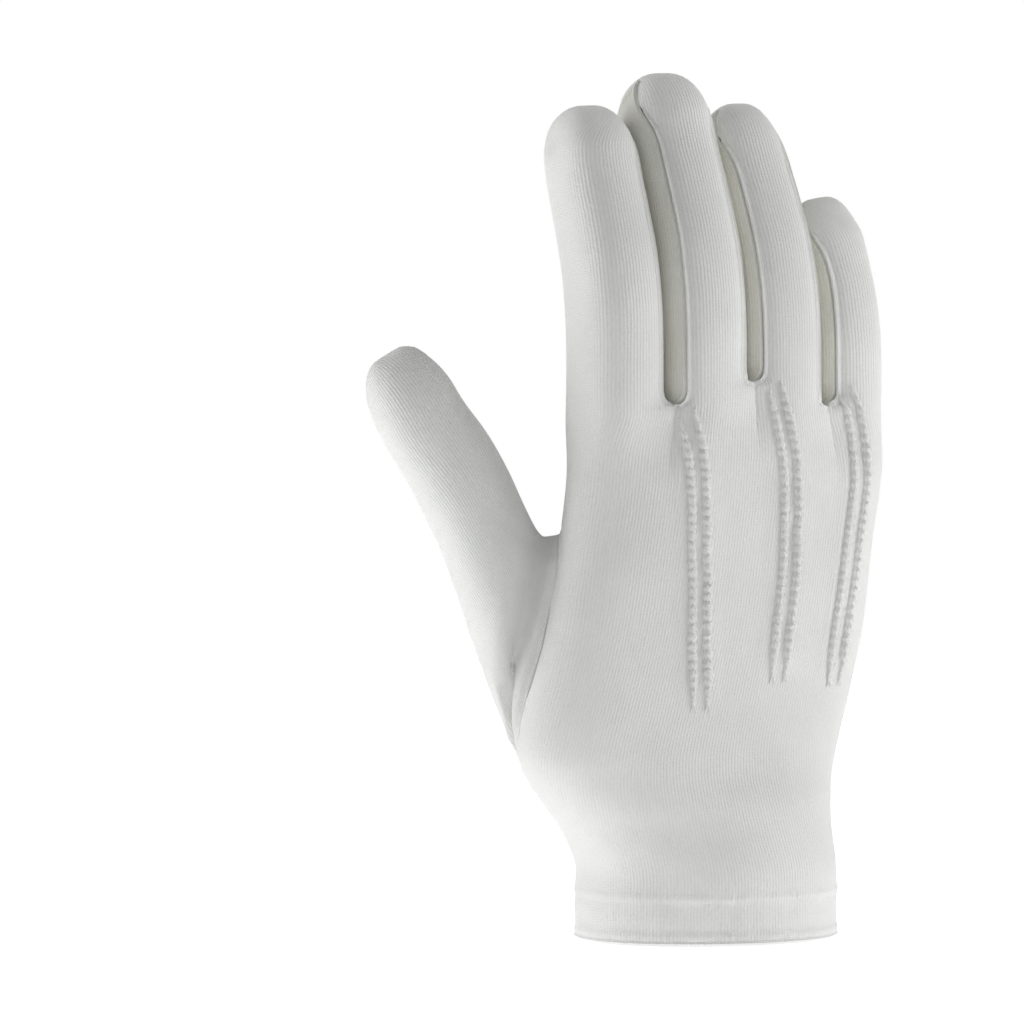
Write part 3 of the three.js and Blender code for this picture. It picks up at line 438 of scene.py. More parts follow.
def trank_point(finger, hand, turn, height, edge=None):
    """edge: which edge of the closure moves the column, if any."""
    hand, turn, height = np.broadcast_arrays(hand, turn, np.asarray(height, float))
    blend = smooth((height - root_height(finger, turn) + ROOT_BLEND) / ROOT_BLEND)
    angle = drifted(hand, height)
    if edge:
        end = OVER_END if edge == "over" else UNDER_END
        share = clamp((hand - end) / (CLOSURE_MIDDLE - end))
        angle = angle + (follow(EDGES, edge, height) - CLOSURE_MIDDLE) * share
    on_hand = cloth_point(angle, height, 0, edge == "over")
    on_finger = finger_point(finger, turn, np.maximum(height, CROTCH_HEIGHT * 0.8))
    return mix(on_hand, on_finger, blend[..., None])


def finger_heights(finger, angle):
    """Heights up a finger for each of some angles: fine over the web and over the tip."""
    root = root_height(finger, angle)
    shoulder = finger_tip(finger) - TIP_ROUND
    web = (np.arange(WEB_ROWS) / WEB_ROWS) ** 2 * WEB_RADIUS
    shares = np.arange(FINGER_ROWS + 1) / FINGER_ROWS
    turns = (np.arange(TIP_ROWS) + 1) / TIP_ROWS
    rows = [root + w for w in web]
    rows += [mix(root + WEB_RADIUS, shoulder, s) for s in shares]
    rows += [np.full_like(root, shoulder + TIP_ROUND * sine(t * 90)) for t in turns]
    return np.array(rows)


class Cloth:
    """Grids of points, welded where they meet. Each keeps its own map of the knit: how far
    across the wales and how far along them, in millimetres."""

    def __init__(self):
        self.points, self.marks, self.quads, self.maps = [], [], [], []
        self.count = 0

    def add(self, points, knit=None, marks=None):
        """points[row][column], with columns going round so that the outside faces out."""
        if knit is None:
            knit = own_map(points)
        rows, columns = points.shape[:2]
        index = np.arange(rows * columns).reshape(rows, columns) + self.count
        corners = np.stack(
            [index[:-1, :-1], index[:-1, 1:], index[1:, 1:], index[1:, :-1]], -1
        )
        self.quads.append(corners.reshape(-1, 4))
        self.points.append(points.reshape(-1, 3))
        self.maps.append(knit.reshape(-1, 2))
        if marks is None:
            marks = np.full((rows, columns), FAR)
        self.marks.append(marks.reshape(-1))
        self.count += rows * columns
        return self

    def weld(self):
        points = np.concatenate(self.points)
        keys = np.round(points * 400).astype(np.int64)
        _, first, same = np.unique(keys, axis=0, return_index=True, return_inverse=True)
        same = same.reshape(-1)
        self.loose = np.concatenate(self.quads)
        self.place = points[first]
        marks = np.concatenate(self.marks)
        self.mark = np.full(len(first), 1e9)
        np.minimum.at(self.mark, same, marks)
        self.knit = np.concatenate(self.maps)
        faces = same[self.loose]
        sides = (faces != np.roll(faces, 1, axis=1)).sum(1)
        self.faces = faces[sides > 2]
        self.loose = self.loose[sides > 2]
        return self

    def normals(self):
        p = self.place[self.faces]
        face = np.cross(p[:, 2] - p[:, 0], p[:, 3] - p[:, 1])
        total = np.zeros_like(self.place)
        for k in range(4):
            np.add.at(total, self.faces[:, k], face)
        return unit(total)

    def raise_by(self, heights):
        self.place = self.place + self.normals() * np.asarray(heights)[:, None]
        return self

    def make(self, name):
        faces, knit = [], []
        for face, loose in zip(self.faces.tolist(), self.loose.tolist()):
            keep = [k for k in range(4) if face[k] != face[k - 1]]
            faces.append([face[k] for k in keep])
            knit.extend(self.knit[loose[k]] for k in keep)
        piece = new_piece(name, self.place, faces, knit)
        piece.data.validate()
        return piece


def new_piece(name, points, faces, knit=None):
    """A piece from points in millimetres. knit: the map's place at each face's corners."""
    mesh = bpy.data.meshes.new(name)
    mesh.from_pydata((np.reshape(points, (-1, 3)) * MM).tolist(), [], faces)
    if knit is not None:
        layer = mesh.uv_layers.new(name="knit")
        layer.data.foreach_set("uv", np.array(knit, np.float32).ravel())
    piece = bpy.data.objects.new(name, mesh)
    bpy.context.scene.collection.objects.link(piece)
    return piece


def work_on(piece):
    for other in bpy.context.selected_objects:
        other.select_set(False)
    piece.select_set(True)
    bpy.context.view_layer.objects.active = piece


def apply_modifier(piece, kind, **settings):
    work_on(piece)
    modifier = piece.modifiers.new(kind.lower(), kind)
    for name, value in settings.items():
        setattr(modifier, name, value)
    bpy.ops.object.modifier_apply(modifier=modifier.name)
    return piece


def thicken(piece, thickness=CLOTH):
    """Gives a sheet its thickness inwards."""
    return apply_modifier(
        piece, "SOLIDIFY", thickness=thickness * MM, offset=-1, use_even_offset=False
    )


def face_outwards(piece):
    work_on(piece)
    bpy.ops.object.mode_set(mode="EDIT")
    bpy.ops.mesh.select_all(action="SELECT")
    bpy.ops.mesh.normals_make_consistent(inside=False)
    bpy.ops.object.mode_set(mode="OBJECT")


def shade_soft(piece, degrees=50):
    work_on(piece)
    bpy.ops.object.shade_smooth_by_angle(angle=math.radians(degrees))
    return piece


def arcs(points, axis):
    """Distances along a grid's rows or columns, from its first."""
    step = np.linalg.norm(np.diff(points, axis=axis), axis=-1)
    shape = list(step.shape)
    shape[axis] = 1
    return np.concatenate([np.zeros(shape), np.cumsum(step, axis=axis)], axis=axis)


def own_map(points):
    """A grid's own map of the knit, measured along its rows and columns."""
    return np.stack([arcs(points, 1), arcs(points, 0)], -1)


def from_sides(points):
    """How far each point of a grid lies from the nearer of its two side edges."""
    return np.minimum(arcs(points, 1), arcs(points[:, ::-1], 1)[:, ::-1])


def band(first, second, count):
    """Faces between two closed rings of points, by the rings' first numbers."""
    k = np.arange(count)
    n = (k + 1) % count
    return np.stack([first + k, first + n, second + n, second + k], -1).tolist()


def ripple(place, size, seed):
    """A soft unevenness of about -1 to 1 over places, with waves of about a size."""
    turn = np.random.default_rng(seed)
    total = np.zeros(len(place))
    for _ in range(7):
        way = unit(turn.normal(size=3))
        wave = 2 * math.pi / (size * turn.uniform(0.7, 1.5))
        total += np.sin(place @ way * wave + turn.uniform(0, 6.28))
    return total / 3.2


# The thumb's hole and tube
def closed_curve(points, share):
    """A smooth closed curve through points, spaced by the root of their distances."""
    count = len(points)
    where = (np.asarray(share, float) % 1) * count
    i = np.floor(where).astype(int)
    w = (where - i)[..., None]
    p0, p1, p2, p3 = (points[(i + k) % count] for k in (-1, 0, 1, 2))

    def span(p, q):
        return np.sqrt(np.linalg.norm(q - p, axis=-1, keepdims=True))

    d0, d1, d2 = span(p0, p1), span(p1, p2), span(p2, p3)
    m1 = ((p1 - p0) / d0 - (p2 - p0) / (d0 + d1) + (p2 - p1) / d1) * d1
    m2 = ((p2 - p1) / d1 - (p3 - p1) / (d1 + d2) + (p3 - p2) / d2) * d1
    return (
        p1 + m1 * w + (-3 * p1 + 3 * p2 - 2 * m1 - m2) * w**2 + (2 * p1 - 2 * p2 + m1 + m2) * w**3
    )


HOLE = np.stack([THUMB_HOLE["angle"], THUMB_HOLE["at"] * CROTCH_HEIGHT], -1)
RISES = np.stack([THUMB_HOLE["rise"], np.arange(len(HOLE))], -1)


def hole_place(share, inwards=0.0):
    """A place on the thumb hole's outline, its normal, its inward way and the way the thumb's
    cloth leaves it."""
    spot = closed_curve(HOLE, share)
    ahead = closed_curve(HOLE, np.asarray(share) + 1e-4) - closed_curve(
        HOLE, np.asarray(share) - 1e-4
    )
    way = unit(ahead) * 0.1
    point = hand_point(spot[..., 0], spot[..., 1])
    normal = hand_normal(spot[..., 0], spot[..., 1])
    along = hand_point(spot[..., 0] + way[..., 0], spot[..., 1] + way[..., 1]) - point
    inward = unit(np.cross(along, normal))
    rise = np.radians(closed_curve(RISES, share)[..., :1])
    leave = inward * np.cos(rise) + normal * np.sin(rise)
    return point + inward * inwards, normal, inward, leave


def thumb_axis(t):
    return vec(
        follow(THUMB, "x", t) * HAND_WIDTH,
        follow(THUMB, "y", t) * HAND_WIDTH,
        follow(THUMB, "z", t) * CROTCH_HEIGHT,
    )


THUMB_LENGTH = float(np.linalg.norm(thumb_axis(1) - thumb_axis(0)))


def thumb_point(angle, t):
    """Angle 0 is the thumb's inner edge, towards the fingers, and 90 its back."""
    angle, t = np.broadcast_arrays(np.asarray(angle, float), np.asarray(t, float))
    up = clamp(1 - (1 - t) * THUMB_LENGTH / TIP_ROUND)
    dome = np.sqrt(np.maximum(0, 1 - up * up))
    way = unit(thumb_axis(np.minimum(t + 0.02, 1)) - thumb_axis(t - 0.02))
    back_way = unit(vec(0, -1, 0) + way * way[..., 1:2])
    inner_way = np.cross(way, back_way)
    back, inner = section(
        angle,
        THUMB_WIDTH / 2 * follow(THUMB, "depth", t) * dome,
        -THUMB_WIDTH / 2 * follow(THUMB, "width", t) * mix(THUMB_TIP_BREADTH, 1, dome),
        THUMB_SQUARE,
    )
    return thumb_axis(t) + inner_way * inner[..., None] + back_way * back[..., None]


def slant(angle):
    low = -THUMB_SLANT * (1 - cosine(angle)) / 2
    return low + BACK_LATER * np.maximum(0, sine(angle))


def thumb_base_point(angle, t):
    start, _, _, leave = hole_place(angle / 360, GAP)
    end = thumb_point(angle, slant(angle))
    arrive = unit(thumb_point(angle, slant(angle) + 0.03) - end)
    reach = np.linalg.norm(end - start, axis=-1, keepdims=True)
    leaves = mix(LEAVES, LEAVES_BACK, np.maximum(0, sine(angle)))[..., None]
    t = np.asarray(t, float)[..., None]
    return (
        start * (1 - t) ** 2 * (1 + 2 * t)
        + end * t * t * (3 - 2 * t)
        + leave * leaves * reach * t * (1 - t) ** 2
        - arrive * ARRIVES * reach * t * t * (1 - t)
    )


def spread(columns, first, last):
    """Shares across a panel, closer together at its first or last end where that has a seam."""
    even = np.arange(columns + 1) / columns
    if first and last:
        curved = (1 - np.cos(math.pi * even)) / 2
    elif first:
        curved = 1 - np.cos(math.pi / 2 * even)
    else:
        curved = np.sin(math.pi / 2 * even)
    return mix(even, curved, 0.7)


def seam_relief(distance, stitch):
    """Relief by the distance from a seam: the edge is drawn in, with a soft roll beside it."""
    edge = -0.55 * bell(distance / 0.45)
    roll = (0.3 + 0.08 * stitch) * bell((distance - 1.5) / 0.8)
    return edge + roll


SEAM_PITCH = 2.3
NUBS = (
    # place of a fingertip's seam corner, its reach and its height
    ((-36.8, 17.5, 211.0), 3.0, 1.3),
    ((-18.5, 15.0, 215.0), 3.0, 0.7),
    ((-13.0, 16.0, 222.0), 3.0, 0.8),
    ((26.6, 16.0, 215.0), 3.0, 0.9),
    ((12.4, 16.0, 213.0), 3.0, 0.7),
    ((40.0, 11.0, 194.0), 2.6, 0.7),
    ((50.0, 10.5, 188.0), 2.6, 0.6),
)


def closure_sides(g, columns):
    """Column ranges of a group with the edge of the closure that moves them."""
    if g < 4:
        return [(0, columns, None)]
    if g < CLOSURE_GROUP:
        return [(0, columns, "under")]
    if g > CLOSURE_GROUP:
        return [(0, columns, "over")]
    return [(0, columns // 2, "under"), (columns // 2, columns, "over")]


def trank_grids():
    """The trank's panels: each one's group, columns, lower and upper points, and its seams."""
    hem_share = HEM_TOP / CROTCH_HEIGHT
    lower = np.concatenate(
        [
            np.arange(HEM_ROW_COUNT) / HEM_ROW_COUNT * hem_share,
            np.linspace(hem_share, 1, LOWER_ROWS - HEM_ROW_COUNT, endpoint=False),
        ]
    )
    grids = []
    for g, group in enumerate(GROUPS):
        finger, columns = group["finger"], group["columns"]
        seams = (group["from"][1] not in (90, -90), group["to"][1] not in (-90, -270))
        for first, last, edge in closure_sides(g, columns):
            t = spread(columns, *seams)[first : last + 1]
            hand = mix(group["from"][0], group["to"][0], t)
            turn = mix(group["from"][1], group["to"][1], t)
            root = root_height(finger, turn)
            share = lower[:, None]
            low = mix(CROTCH_HEIGHT * share, root * share, smooth((share - 0.6) / 0.4))
            high = finger_heights(finger, turn)
            height = np.concatenate([low, high[:1]])
            points = trank_point(finger, hand, turn, height, edge)
            for column, end, beside in ((0, "from", g - 1), (len(t) - 1, "to", g + 1)):
                at_end = (first == 0) if end == "from" else (last == columns)
                if not at_end or not 0 <= beside < len(GROUPS):
                    continue
                other = GROUPS[beside]
                if other["finger"] == finger:
                    continue
                turn_beside = other["to" if end == "from" else "from"][1]
                there = trank_point(
                    other["finger"], hand[column], turn_beside, height[:, column], edge
                )
                points[:, column] = (points[:, column] + there) / 2
            upper = trank_point(finger, hand, turn, high[1:], None)
            grids.append((g, first, last, points, upper, seams))
    return grids


def wales_across(grids):
    """The knit's map across the wales, from the middle of the back round both ways."""
    reach = {}
    order = list(range(len(grids)))
    middle = next(k for k in order if grids[k][0] == 2)
    offset = np.zeros(LOWER_ROWS + 1)
    for k in order[middle:]:
        reach[k] = offset[:, None] + arcs(grids[k][3], 1)
        offset = reach[k][:, -1]
        if grids[k][0] == CLOSURE_GROUP:
            break
    offset = np.zeros(LOWER_ROWS + 1)
    for k in [*order[:middle][::-1], *order[::-1]]:
        if k in reach:
            break
        reach[k] = offset[:, None] - arcs(grids[k][3][:, ::-1], 1)[:, ::-1]
        offset = reach[k][:, 0]
    return reach


def cut_trank():
    cloth = Cloth()
    grids = trank_grids()
    reach = wales_across(grids)
    for k, (g, first, last, points, upper, seams) in enumerate(grids):
        along = arcs(points, 0)
        knit = np.stack([reach[k], along], -1)
        cloth.add(points, knit)
        high = np.concatenate([points[-1:], upper])
        across = arcs(high, 1)
        centre = high.shape[1] // 2
        if not seams[0]:
            centre = 0
        elif not seams[1]:
            centre = high.shape[1] - 1
        if g == CLOSURE_GROUP:
            centre = 0 if first else high.shape[1] - 1
        across = across - across[:, centre : centre + 1] + reach[k][-1, centre]
        knit = np.stack([across, arcs(high, 0) + along[-1:]], -1)
        near = np.full(high.shape[:2], FAR)
        if seams[0] and first == 0:
            near = np.minimum(near, arcs(high, 1))
        if seams[1] and last == GROUPS[g]["columns"]:
            near = np.minimum(near, arcs(high[:, ::-1], 1)[:, ::-1])
        fade = smooth((finger_tip(GROUPS[g]["finger"]) - 3 - high[..., 2]) / 6)
        near = mix(9.0, np.minimum(near, 9.0), fade)
        cloth.add(high, knit, near)
    cloth.weld()
    place = cloth.place
    stitch = np.sin(2 * math.pi * place[:, 2] / SEAM_PITCH)
    relief = seam_relief(cloth.mark, stitch) * (cloth.mark < 8)
    relief = relief + hem_relief(place) + thumb_seam_relief(place) + point_relief(place)
    relief = relief + closure_relief(place) + 0.16 * ripple(place, 26, 3)
    for spot, size, height in NUBS:
        away = np.linalg.norm(place - np.array(spot), axis=1)
        relief = relief + height * bell(away / size)
    cloth.raise_by(relief)
    return cloth


HEM_ROWS = (2.1, 12.4)
HEM_PITCH = 1.95


def hem_relief(place):
    """Two sewn rows: each draws the cloth in, more at every stitch, and rolls it between."""
    height = place[:, 2]
    turn = np.arctan2(place[:, 1], place[:, 0])
    reach = turn * CUFF_WIDTH / 2
    pucker = ripple(np.stack([reach, height, height * 0], -1), 7.0, 11)
    relief = np.zeros(len(place))
    for row in HEM_ROWS:
        beat = 0.5 + 0.5 * np.cos(2 * math.pi * reach / HEM_PITCH)
        relief -= (0.1 + 0.26 * beat) * bell((height - row) / 0.8)
    between = smooth((height - 2) / 3) * smooth((14.5 - height) / 4)
    relief += between * (0.2 + 0.16 * pucker)
    relief -= 0.5 * bell(height / 0.6)
    return relief


def point_relief(place):
    """The crease that each pair of welts leaves in the back between them."""
    relief = np.zeros(len(place))
    on_back = place[:, 1] < 0
    for rows, top in zip(POINTS, POINT_TOPS):
        low = top * CROTCH_HEIGHT - POINT_LENGTH
        share = (place[:, 2] - low) / POINT_LENGTH
        middle = follow(rows, "x", share) * HAND_WIDTH
        along = smooth(share / 0.04) * smooth((0.97 - share) / 0.04)
        relief -= 0.75 * bell((place[:, 0] - middle) / 0.95) * along * on_back
        beside = np.abs(place[:, 0] - middle) - 4.6
        relief -= 0.3 * bell(beside / 1.1) * along * on_back
    return relief


HOLE_OUTLINE = hole_place(np.arange(480) / 480)[0]


def distance_to(path, place, within=14.0):
    """The distance of each place to a path of points, or a long way past a reach."""
    low, high = path.min(0) - within, path.max(0) + within
    near = ((place > low) & (place < high)).all(1)
    away = np.full(len(place), FAR)
    found = np.flatnonzero(near)
    for part in np.array_split(found, max(1, len(found) // 4000)):
        gaps = np.linalg.norm(place[part][:, None] - path[None], axis=-1)
        away[part] = gaps.min(1)
    return away


def thumb_seam_relief(place):
    away = distance_to(HOLE_OUTLINE, place)
    palm = smooth((place[:, 1] - 4) / 6)
    roll = mix(0.12, 0.45, palm) * bell((away - 1.4) / 1.0)
    return roll - 0.35 * bell(away / 0.6)


def closure_path(side, low, high, count, over):
    height = np.linspace(low, high, count)
    return cloth_point(follow(EDGES, side, height), height, 0, over)


FREE_EDGE = closure_path("over", 0, KEYHOLE_TOP, 260, True)
INNER_EDGE = closure_path("under", SLIT_HEIGHT + 2, KEYHOLE_TOP, 120, False)
BINDING = 2.9


def closure_relief(place):
    """A rolled binding along the edge on top and round the keyhole, and a soft fold beside it."""
    relief = np.zeros(len(place))
    for path, fold in ((FREE_EDGE, True), (INNER_EDGE, False)):
        away = distance_to(path, place)
        across = clamp(away / BINDING)
        bead = np.sqrt(np.maximum(0, 1 - (2 * across - 1) ** 2)) * (away < BINDING)
        relief += 0.62 * bead - 0.35 * bell((away - BINDING) / 0.5)
        if fold:
            low = smooth((place[:, 2] - 8) / 10) * smooth((48 - place[:, 2]) / 12)
            relief += low * (0.5 * bell((away - 7.0) / 2.2) - 0.45 * bell((away - 11.0) / 1.6))
    return relief


def trank_piece():
    piece = cut_trank().make("glove_body")
    thicken(piece)
    cutter = thumb_hole_cutter()
    apply_modifier(piece, "BOOLEAN", object=cutter, operation="DIFFERENCE", solver="EXACT")
    bpy.data.objects.remove(cutter)
    return shade_soft(piece)


def thumb_hole_cutter():
    """The thumb hole's outline carried square through the cloth, under a pointed roof."""
    count = 144
    point, normal, _, _ = hole_place(np.arange(count) / count)
    lean = unit(normal.sum(0))
    rings = [point + normal + lean * 4, point + normal * 0.9, point - normal * 4]
    top, bottom = rings[0].mean(0) + lean * 16, rings[2].mean(0)
    points = np.concatenate([*rings, [top], [bottom]])
    faces = band(0, count, count) + band(count, 2 * count, count)
    for k in range(count):
        n = (k + 1) % count
        faces.append([3 * count, n, k])
    for k in range(count):
        n = (k + 1) % count
        faces.append([3 * count + 1, k + 2 * count, n + 2 * count])
    return new_piece("hole_cutter", points, faces)


THUMB_BASE = 34
THUMB_TUBE = 62
THUMB_DOME = 12


def thumb_piece():
    angle = np.arange(THUMB_SIDES + 1) / THUMB_SIDES * 360 % 360
    shoulder = 1 - TIP_ROUND / THUMB_LENGTH
    base = (np.arange(THUMB_BASE) / THUMB_BASE)[:, None]
    base = mix(base, base**1.6, 0.5)
    tube = (np.arange(THUMB_TUBE) / THUMB_TUBE)[:, None]
    turns = sine(np.arange(THUMB_DOME + 1) / THUMB_DOME * 90)[:, None]
    points = np.concatenate(
        [
            thumb_base_point(np.broadcast_to(angle, (THUMB_BASE, len(angle))), base),
            thumb_point(angle, mix(slant(angle), shoulder, tube)),
            thumb_point(angle, 1 - TIP_ROUND * (1 - turns) / THUMB_LENGTH),
        ]
    )
    points = points[:, ::-1]
    across = arcs(points, 1)
    middle = THUMB_SIDES // 4 * 3
    knit = np.stack([across - across[:, middle : middle + 1], arcs(points, 0)], -1)
    cloth = Cloth().add(points, knit, arcs(points, 0)).weld()
    place = cloth.place
    base_seam = seam_relief(cloth.mark, np.sin(2 * math.pi * place[:, 2] / SEAM_PITCH))
    inner = thumb_point(np.full(90, 0.0), np.linspace(-0.02, 0.97, 90))
    away = distance_to(inner, place)
    edge_seam = 0.35 * bell((away - 0.9) / 0.7) - 0.5 * bell(away / 0.4)
    relief = base_seam + edge_seam + 0.15 * ripple(place, 20, 5)
    relief = relief + view_folds(cloth, THUMB_FOLDS)
    cloth.raise_by(relief)
    piece = cloth.make("thumb_cloth")
    return shade_soft(thicken(piece))


# Folds drawn on the side that faces the back of the hand: (u, height) along each, where u
# runs across that view, with its rise and its half width
THUMB_FOLDS = (
    (((-41.5, 100.5), (-43.0, 92.0), (-46.0, 80.0), (-50.0, 65.0), (-52.5, 52.0)), 0.75, 1.5),
    (((-45.5, 98.0), (-47.5, 88.0), (-50.0, 78.0), (-53.0, 67.0)), -0.55, 1.3),
    (((-42.0, 104.5), (-47.0, 106.0), (-54.0, 112.0)), -0.35, 1.6),
)


def view_folds(cloth, folds):
    """Relief of folds, each a line with a soft hump across it, on cloth that faces the view."""
    facing = smooth(cloth.normals() @ VIEW_TOWARDS / 0.4)
    flat = np.stack([cloth.place @ VIEW_ACROSS, cloth.place[:, 2], np.zeros(len(facing))], -1)
    relief = np.zeros(len(facing))
    for path, rise, size in folds:
        line = resampled([(u, z, 0.0) for u, z in path], 0.5)
        away = distance_to(line, flat)
        relief += rise * bell(away / size) * facing
    return relief


def fourchette_piece(fork, name):
    """Down the side of one finger, round the fork and up the side of the next."""
    cloth = Cloth()
    for finger, side in ((fork, 1), (fork + 1, -1)):
        t = spread(STRIP_COLUMNS, True, True)
        angle = side * mix(SEAM_ANGLE, 180 - SEAM_ANGLE, 1 - t if side > 0 else t)
        height = finger_heights(finger, angle)
        rows = WEB_ROWS + FINGER_ROWS + TIP_ROWS
        points = finger_point(finger, angle, height)[:rows]
        cloth.add(points, marks=from_sides(points))
    cloth.weld()
    stitch = np.sin(2 * math.pi * cloth.place[:, 2] / SEAM_PITCH)
    sunk = -0.5 * bell(cloth.mark / 0.6) + 0.06 * stitch * bell((cloth.mark - 1) / 1)
    cloth.raise_by(sunk - 0.12)
    return shade_soft(thicken(cloth.make(name)))


def degrees_per_mm(angle, height):
    wide = hand_point(angle + 0.5, height) - hand_point(angle - 0.5, height)
    return 1 / np.linalg.norm(wide, axis=-1)


UNDER_CLOTH = CLOTH + 2.2 * GAP


def hem_piece():
    height = np.array([0.5, 1.2, 2.2, 3.5, 5, 6.5, 8, 9.5, 11, 12, HEM_HEIGHT])[:, None]
    over = follow(EDGES, "over", height)
    under = follow(EDGES, "under", height)
    start = over + 360 + FACING_SHOWS * degrees_per_mm(over, height)
    angle = mix(start, under, (np.arange(141) / 140)[None])
    lifted = cloth_point(angle - 360, height, UNDER_CLOTH, True)
    flat = cloth_point(angle, height, UNDER_CLOTH, False)
    points = np.where((angle > 100)[..., None], lifted, flat)
    cloth = Cloth().add(points).weld()
    return shade_soft(thicken(cloth.make("hem_inside"), 1.0))


def facing_piece():
    foot = SLIT_HEIGHT + 0.16 * KEYHOLE_HEIGHT
    scale = float(1 / degrees_per_mm(SNAP_ANGLE, SLIT_HEIGHT + KEYHOLE_HEIGHT / 2))
    up = np.linspace(HEM_HEIGHT + 4.6, KEYHOLE_TOP - 1.8, 60)
    down = np.linspace(KEYHOLE_TOP - 1.8, foot, 26)
    rise = np.stack([follow(EDGES, "over", up) * scale, up], -1)
    top = np.array([[float(follow(EDGES, "over", KEYHOLE_TOP)) * scale, KEYHOLE_TOP]])
    fall = np.stack([follow(EDGES, "under", down) * scale, down], -1)
    path = np.concatenate([rise, top, fall])
    way = unit(np.gradient(path, axis=0))
    away = np.stack([-way[:, 1], way[:, 0]], -1)
    shows = mix(FACING_SHOWS, FACING_ROUND, smooth((path[:, 1] - SLIT_HEIGHT + 6) / 9))
    share = np.array([0, 0.12, 0.25, 0.4, 0.55, 0.7, 0.85, 1.0])
    reach = mix(-shows[:, None], FACING_WIDTH, share[None])
    spot = path[:, None] + away[:, None] * reach[..., None]
    lifted = cloth_point(spot[..., 0] / scale, spot[..., 1], UNDER_CLOTH, True)
    flat = cloth_point(spot[..., 0] / scale, spot[..., 1], UNDER_CLOTH, False)
    on_top = (np.arange(len(path)) <= len(rise))[:, None, None]
    points = np.where(on_top, lifted, flat)
    cloth = Cloth().add(points).weld()
    return shade_soft(thicken(cloth.make("slit_binding"), 0.9))


def surface_of(*pieces):
    """A tree that rays can meet, over pieces' meshes."""
    points, faces = [], []
    for piece in pieces:
        foot = len(points)
        points += [v.co for v in piece.data.vertices]
        faces += [[foot + k for k in p.vertices] for p in piece.data.polygons]
    return BVHTree.FromPolygons(points, faces)


def seat(tree, start, way):
    """Where a ray meets the surface, and the surface's normal, in millimetres."""
    spot, normal, _, _ = tree.ray_cast(Vector(start) * MM, Vector(way))
    if spot is None:
        return None
    return np.array(spot) / MM, np.array(normal)


def resampled(path, step):
    """A path of points at even steps."""
    path = np.asarray(path, float)
    along = np.concatenate([[0], np.cumsum(np.linalg.norm(np.diff(path, axis=0), axis=1))])
    places = np.arange(0, along[-1], step)
    return np.stack([np.interp(places, along, path[:, k]) for k in range(3)], -1)


def lenses(name, middles, ways, normals, length, width, height):
    """Many small stitches as one mesh: each a short rounded bar lying on the cloth."""
    stations = np.array([-0.5, -0.36, 0.0, 0.36, 0.5])
    fat = np.array([0.25, 0.85, 1.0, 0.85, 0.25])
    sides = 6
    points_each = sides * len(stations)
    around = np.radians(np.arange(sides) * 360 / sides)
    side = unit(np.cross(normals, ways))
    rings = (
        middles[:, None, None]
        + ways[:, None, None] * (stations * length)[None, :, None, None]
        + side[:, None, None] * (fat[:, None] * np.cos(around) * width / 2)[None, ..., None]
        + normals[:, None, None] * (fat[:, None] * np.sin(around) * height / 2)[None, ..., None]
    )
    one = []
    for j in range(len(stations) - 1):
        one += band(j * sides, (j + 1) * sides, sides)
    one += [list(range(sides))[::-1], list(range(points_each - sides, points_each))]
    faces = [[m * points_each + v for v in face] for m in range(len(middles)) for face in one]
    piece = new_piece(name, rings, faces)
    face_outwards(piece)
    bpy.ops.object.shade_smooth()
    return piece


class Stitching:
    """Collects rows of stitches, each seated on the cloth under it."""

    def __init__(self, tree):
        self.tree = tree
        self.middles, self.ways, self.normals = [], [], []

    def row(self, path, pitch, lean=0.0, lift=0.12):
        places = resampled(path, pitch)
        ways = unit(np.gradient(places, axis=0))
        for place, way in zip(places, ways):
            found = self.tree.find_nearest(Vector(place) * MM)
            if found[0] is None:
                continue
            normal = np.array(found[1])
            on_cloth = np.array(found[0]) / MM
            side = np.cross(normal, way)
            way = unit(way + side * lean)
            way = unit(way - normal * (way @ normal))
            self.middles.append(on_cloth + normal * lift)
            self.ways.append(way)
            self.normals.append(normal)
        return self

    def over(self, crest, places):
        """Slanting stitches over a welt's crest, and a loose end at its foot."""
        for k in places:
            spot, normal = crest[k]
            side = unit(np.cross(normal, (0, 0, 1)))
            self.middles.append(spot + normal * 0.02)
            self.ways.append(unit(side * 0.75 + np.array([0, 0, 0.66])))
            self.normals.append(normal)
        spot, normal = crest[1]
        for lean in (-0.35, 0.4):
            side = unit(np.cross(normal, (0, 0, 1)))
            way = unit(side * lean + np.array([0, 0, -1.0]))
            self.middles.append(spot + way * 1.3 - normal * 0.25)
            self.ways.append(way)
            self.normals.append(normal)
        return self

    def make(self, name, length=1.5, width=0.42, height=0.36):
        return lenses(
            name,
            np.array(self.middles),
            np.array(self.ways),
            np.array(self.normals),
            length,
            width,
            height,
        )


WELT_RINGS = 170
KNOT_PITCH = 2.5


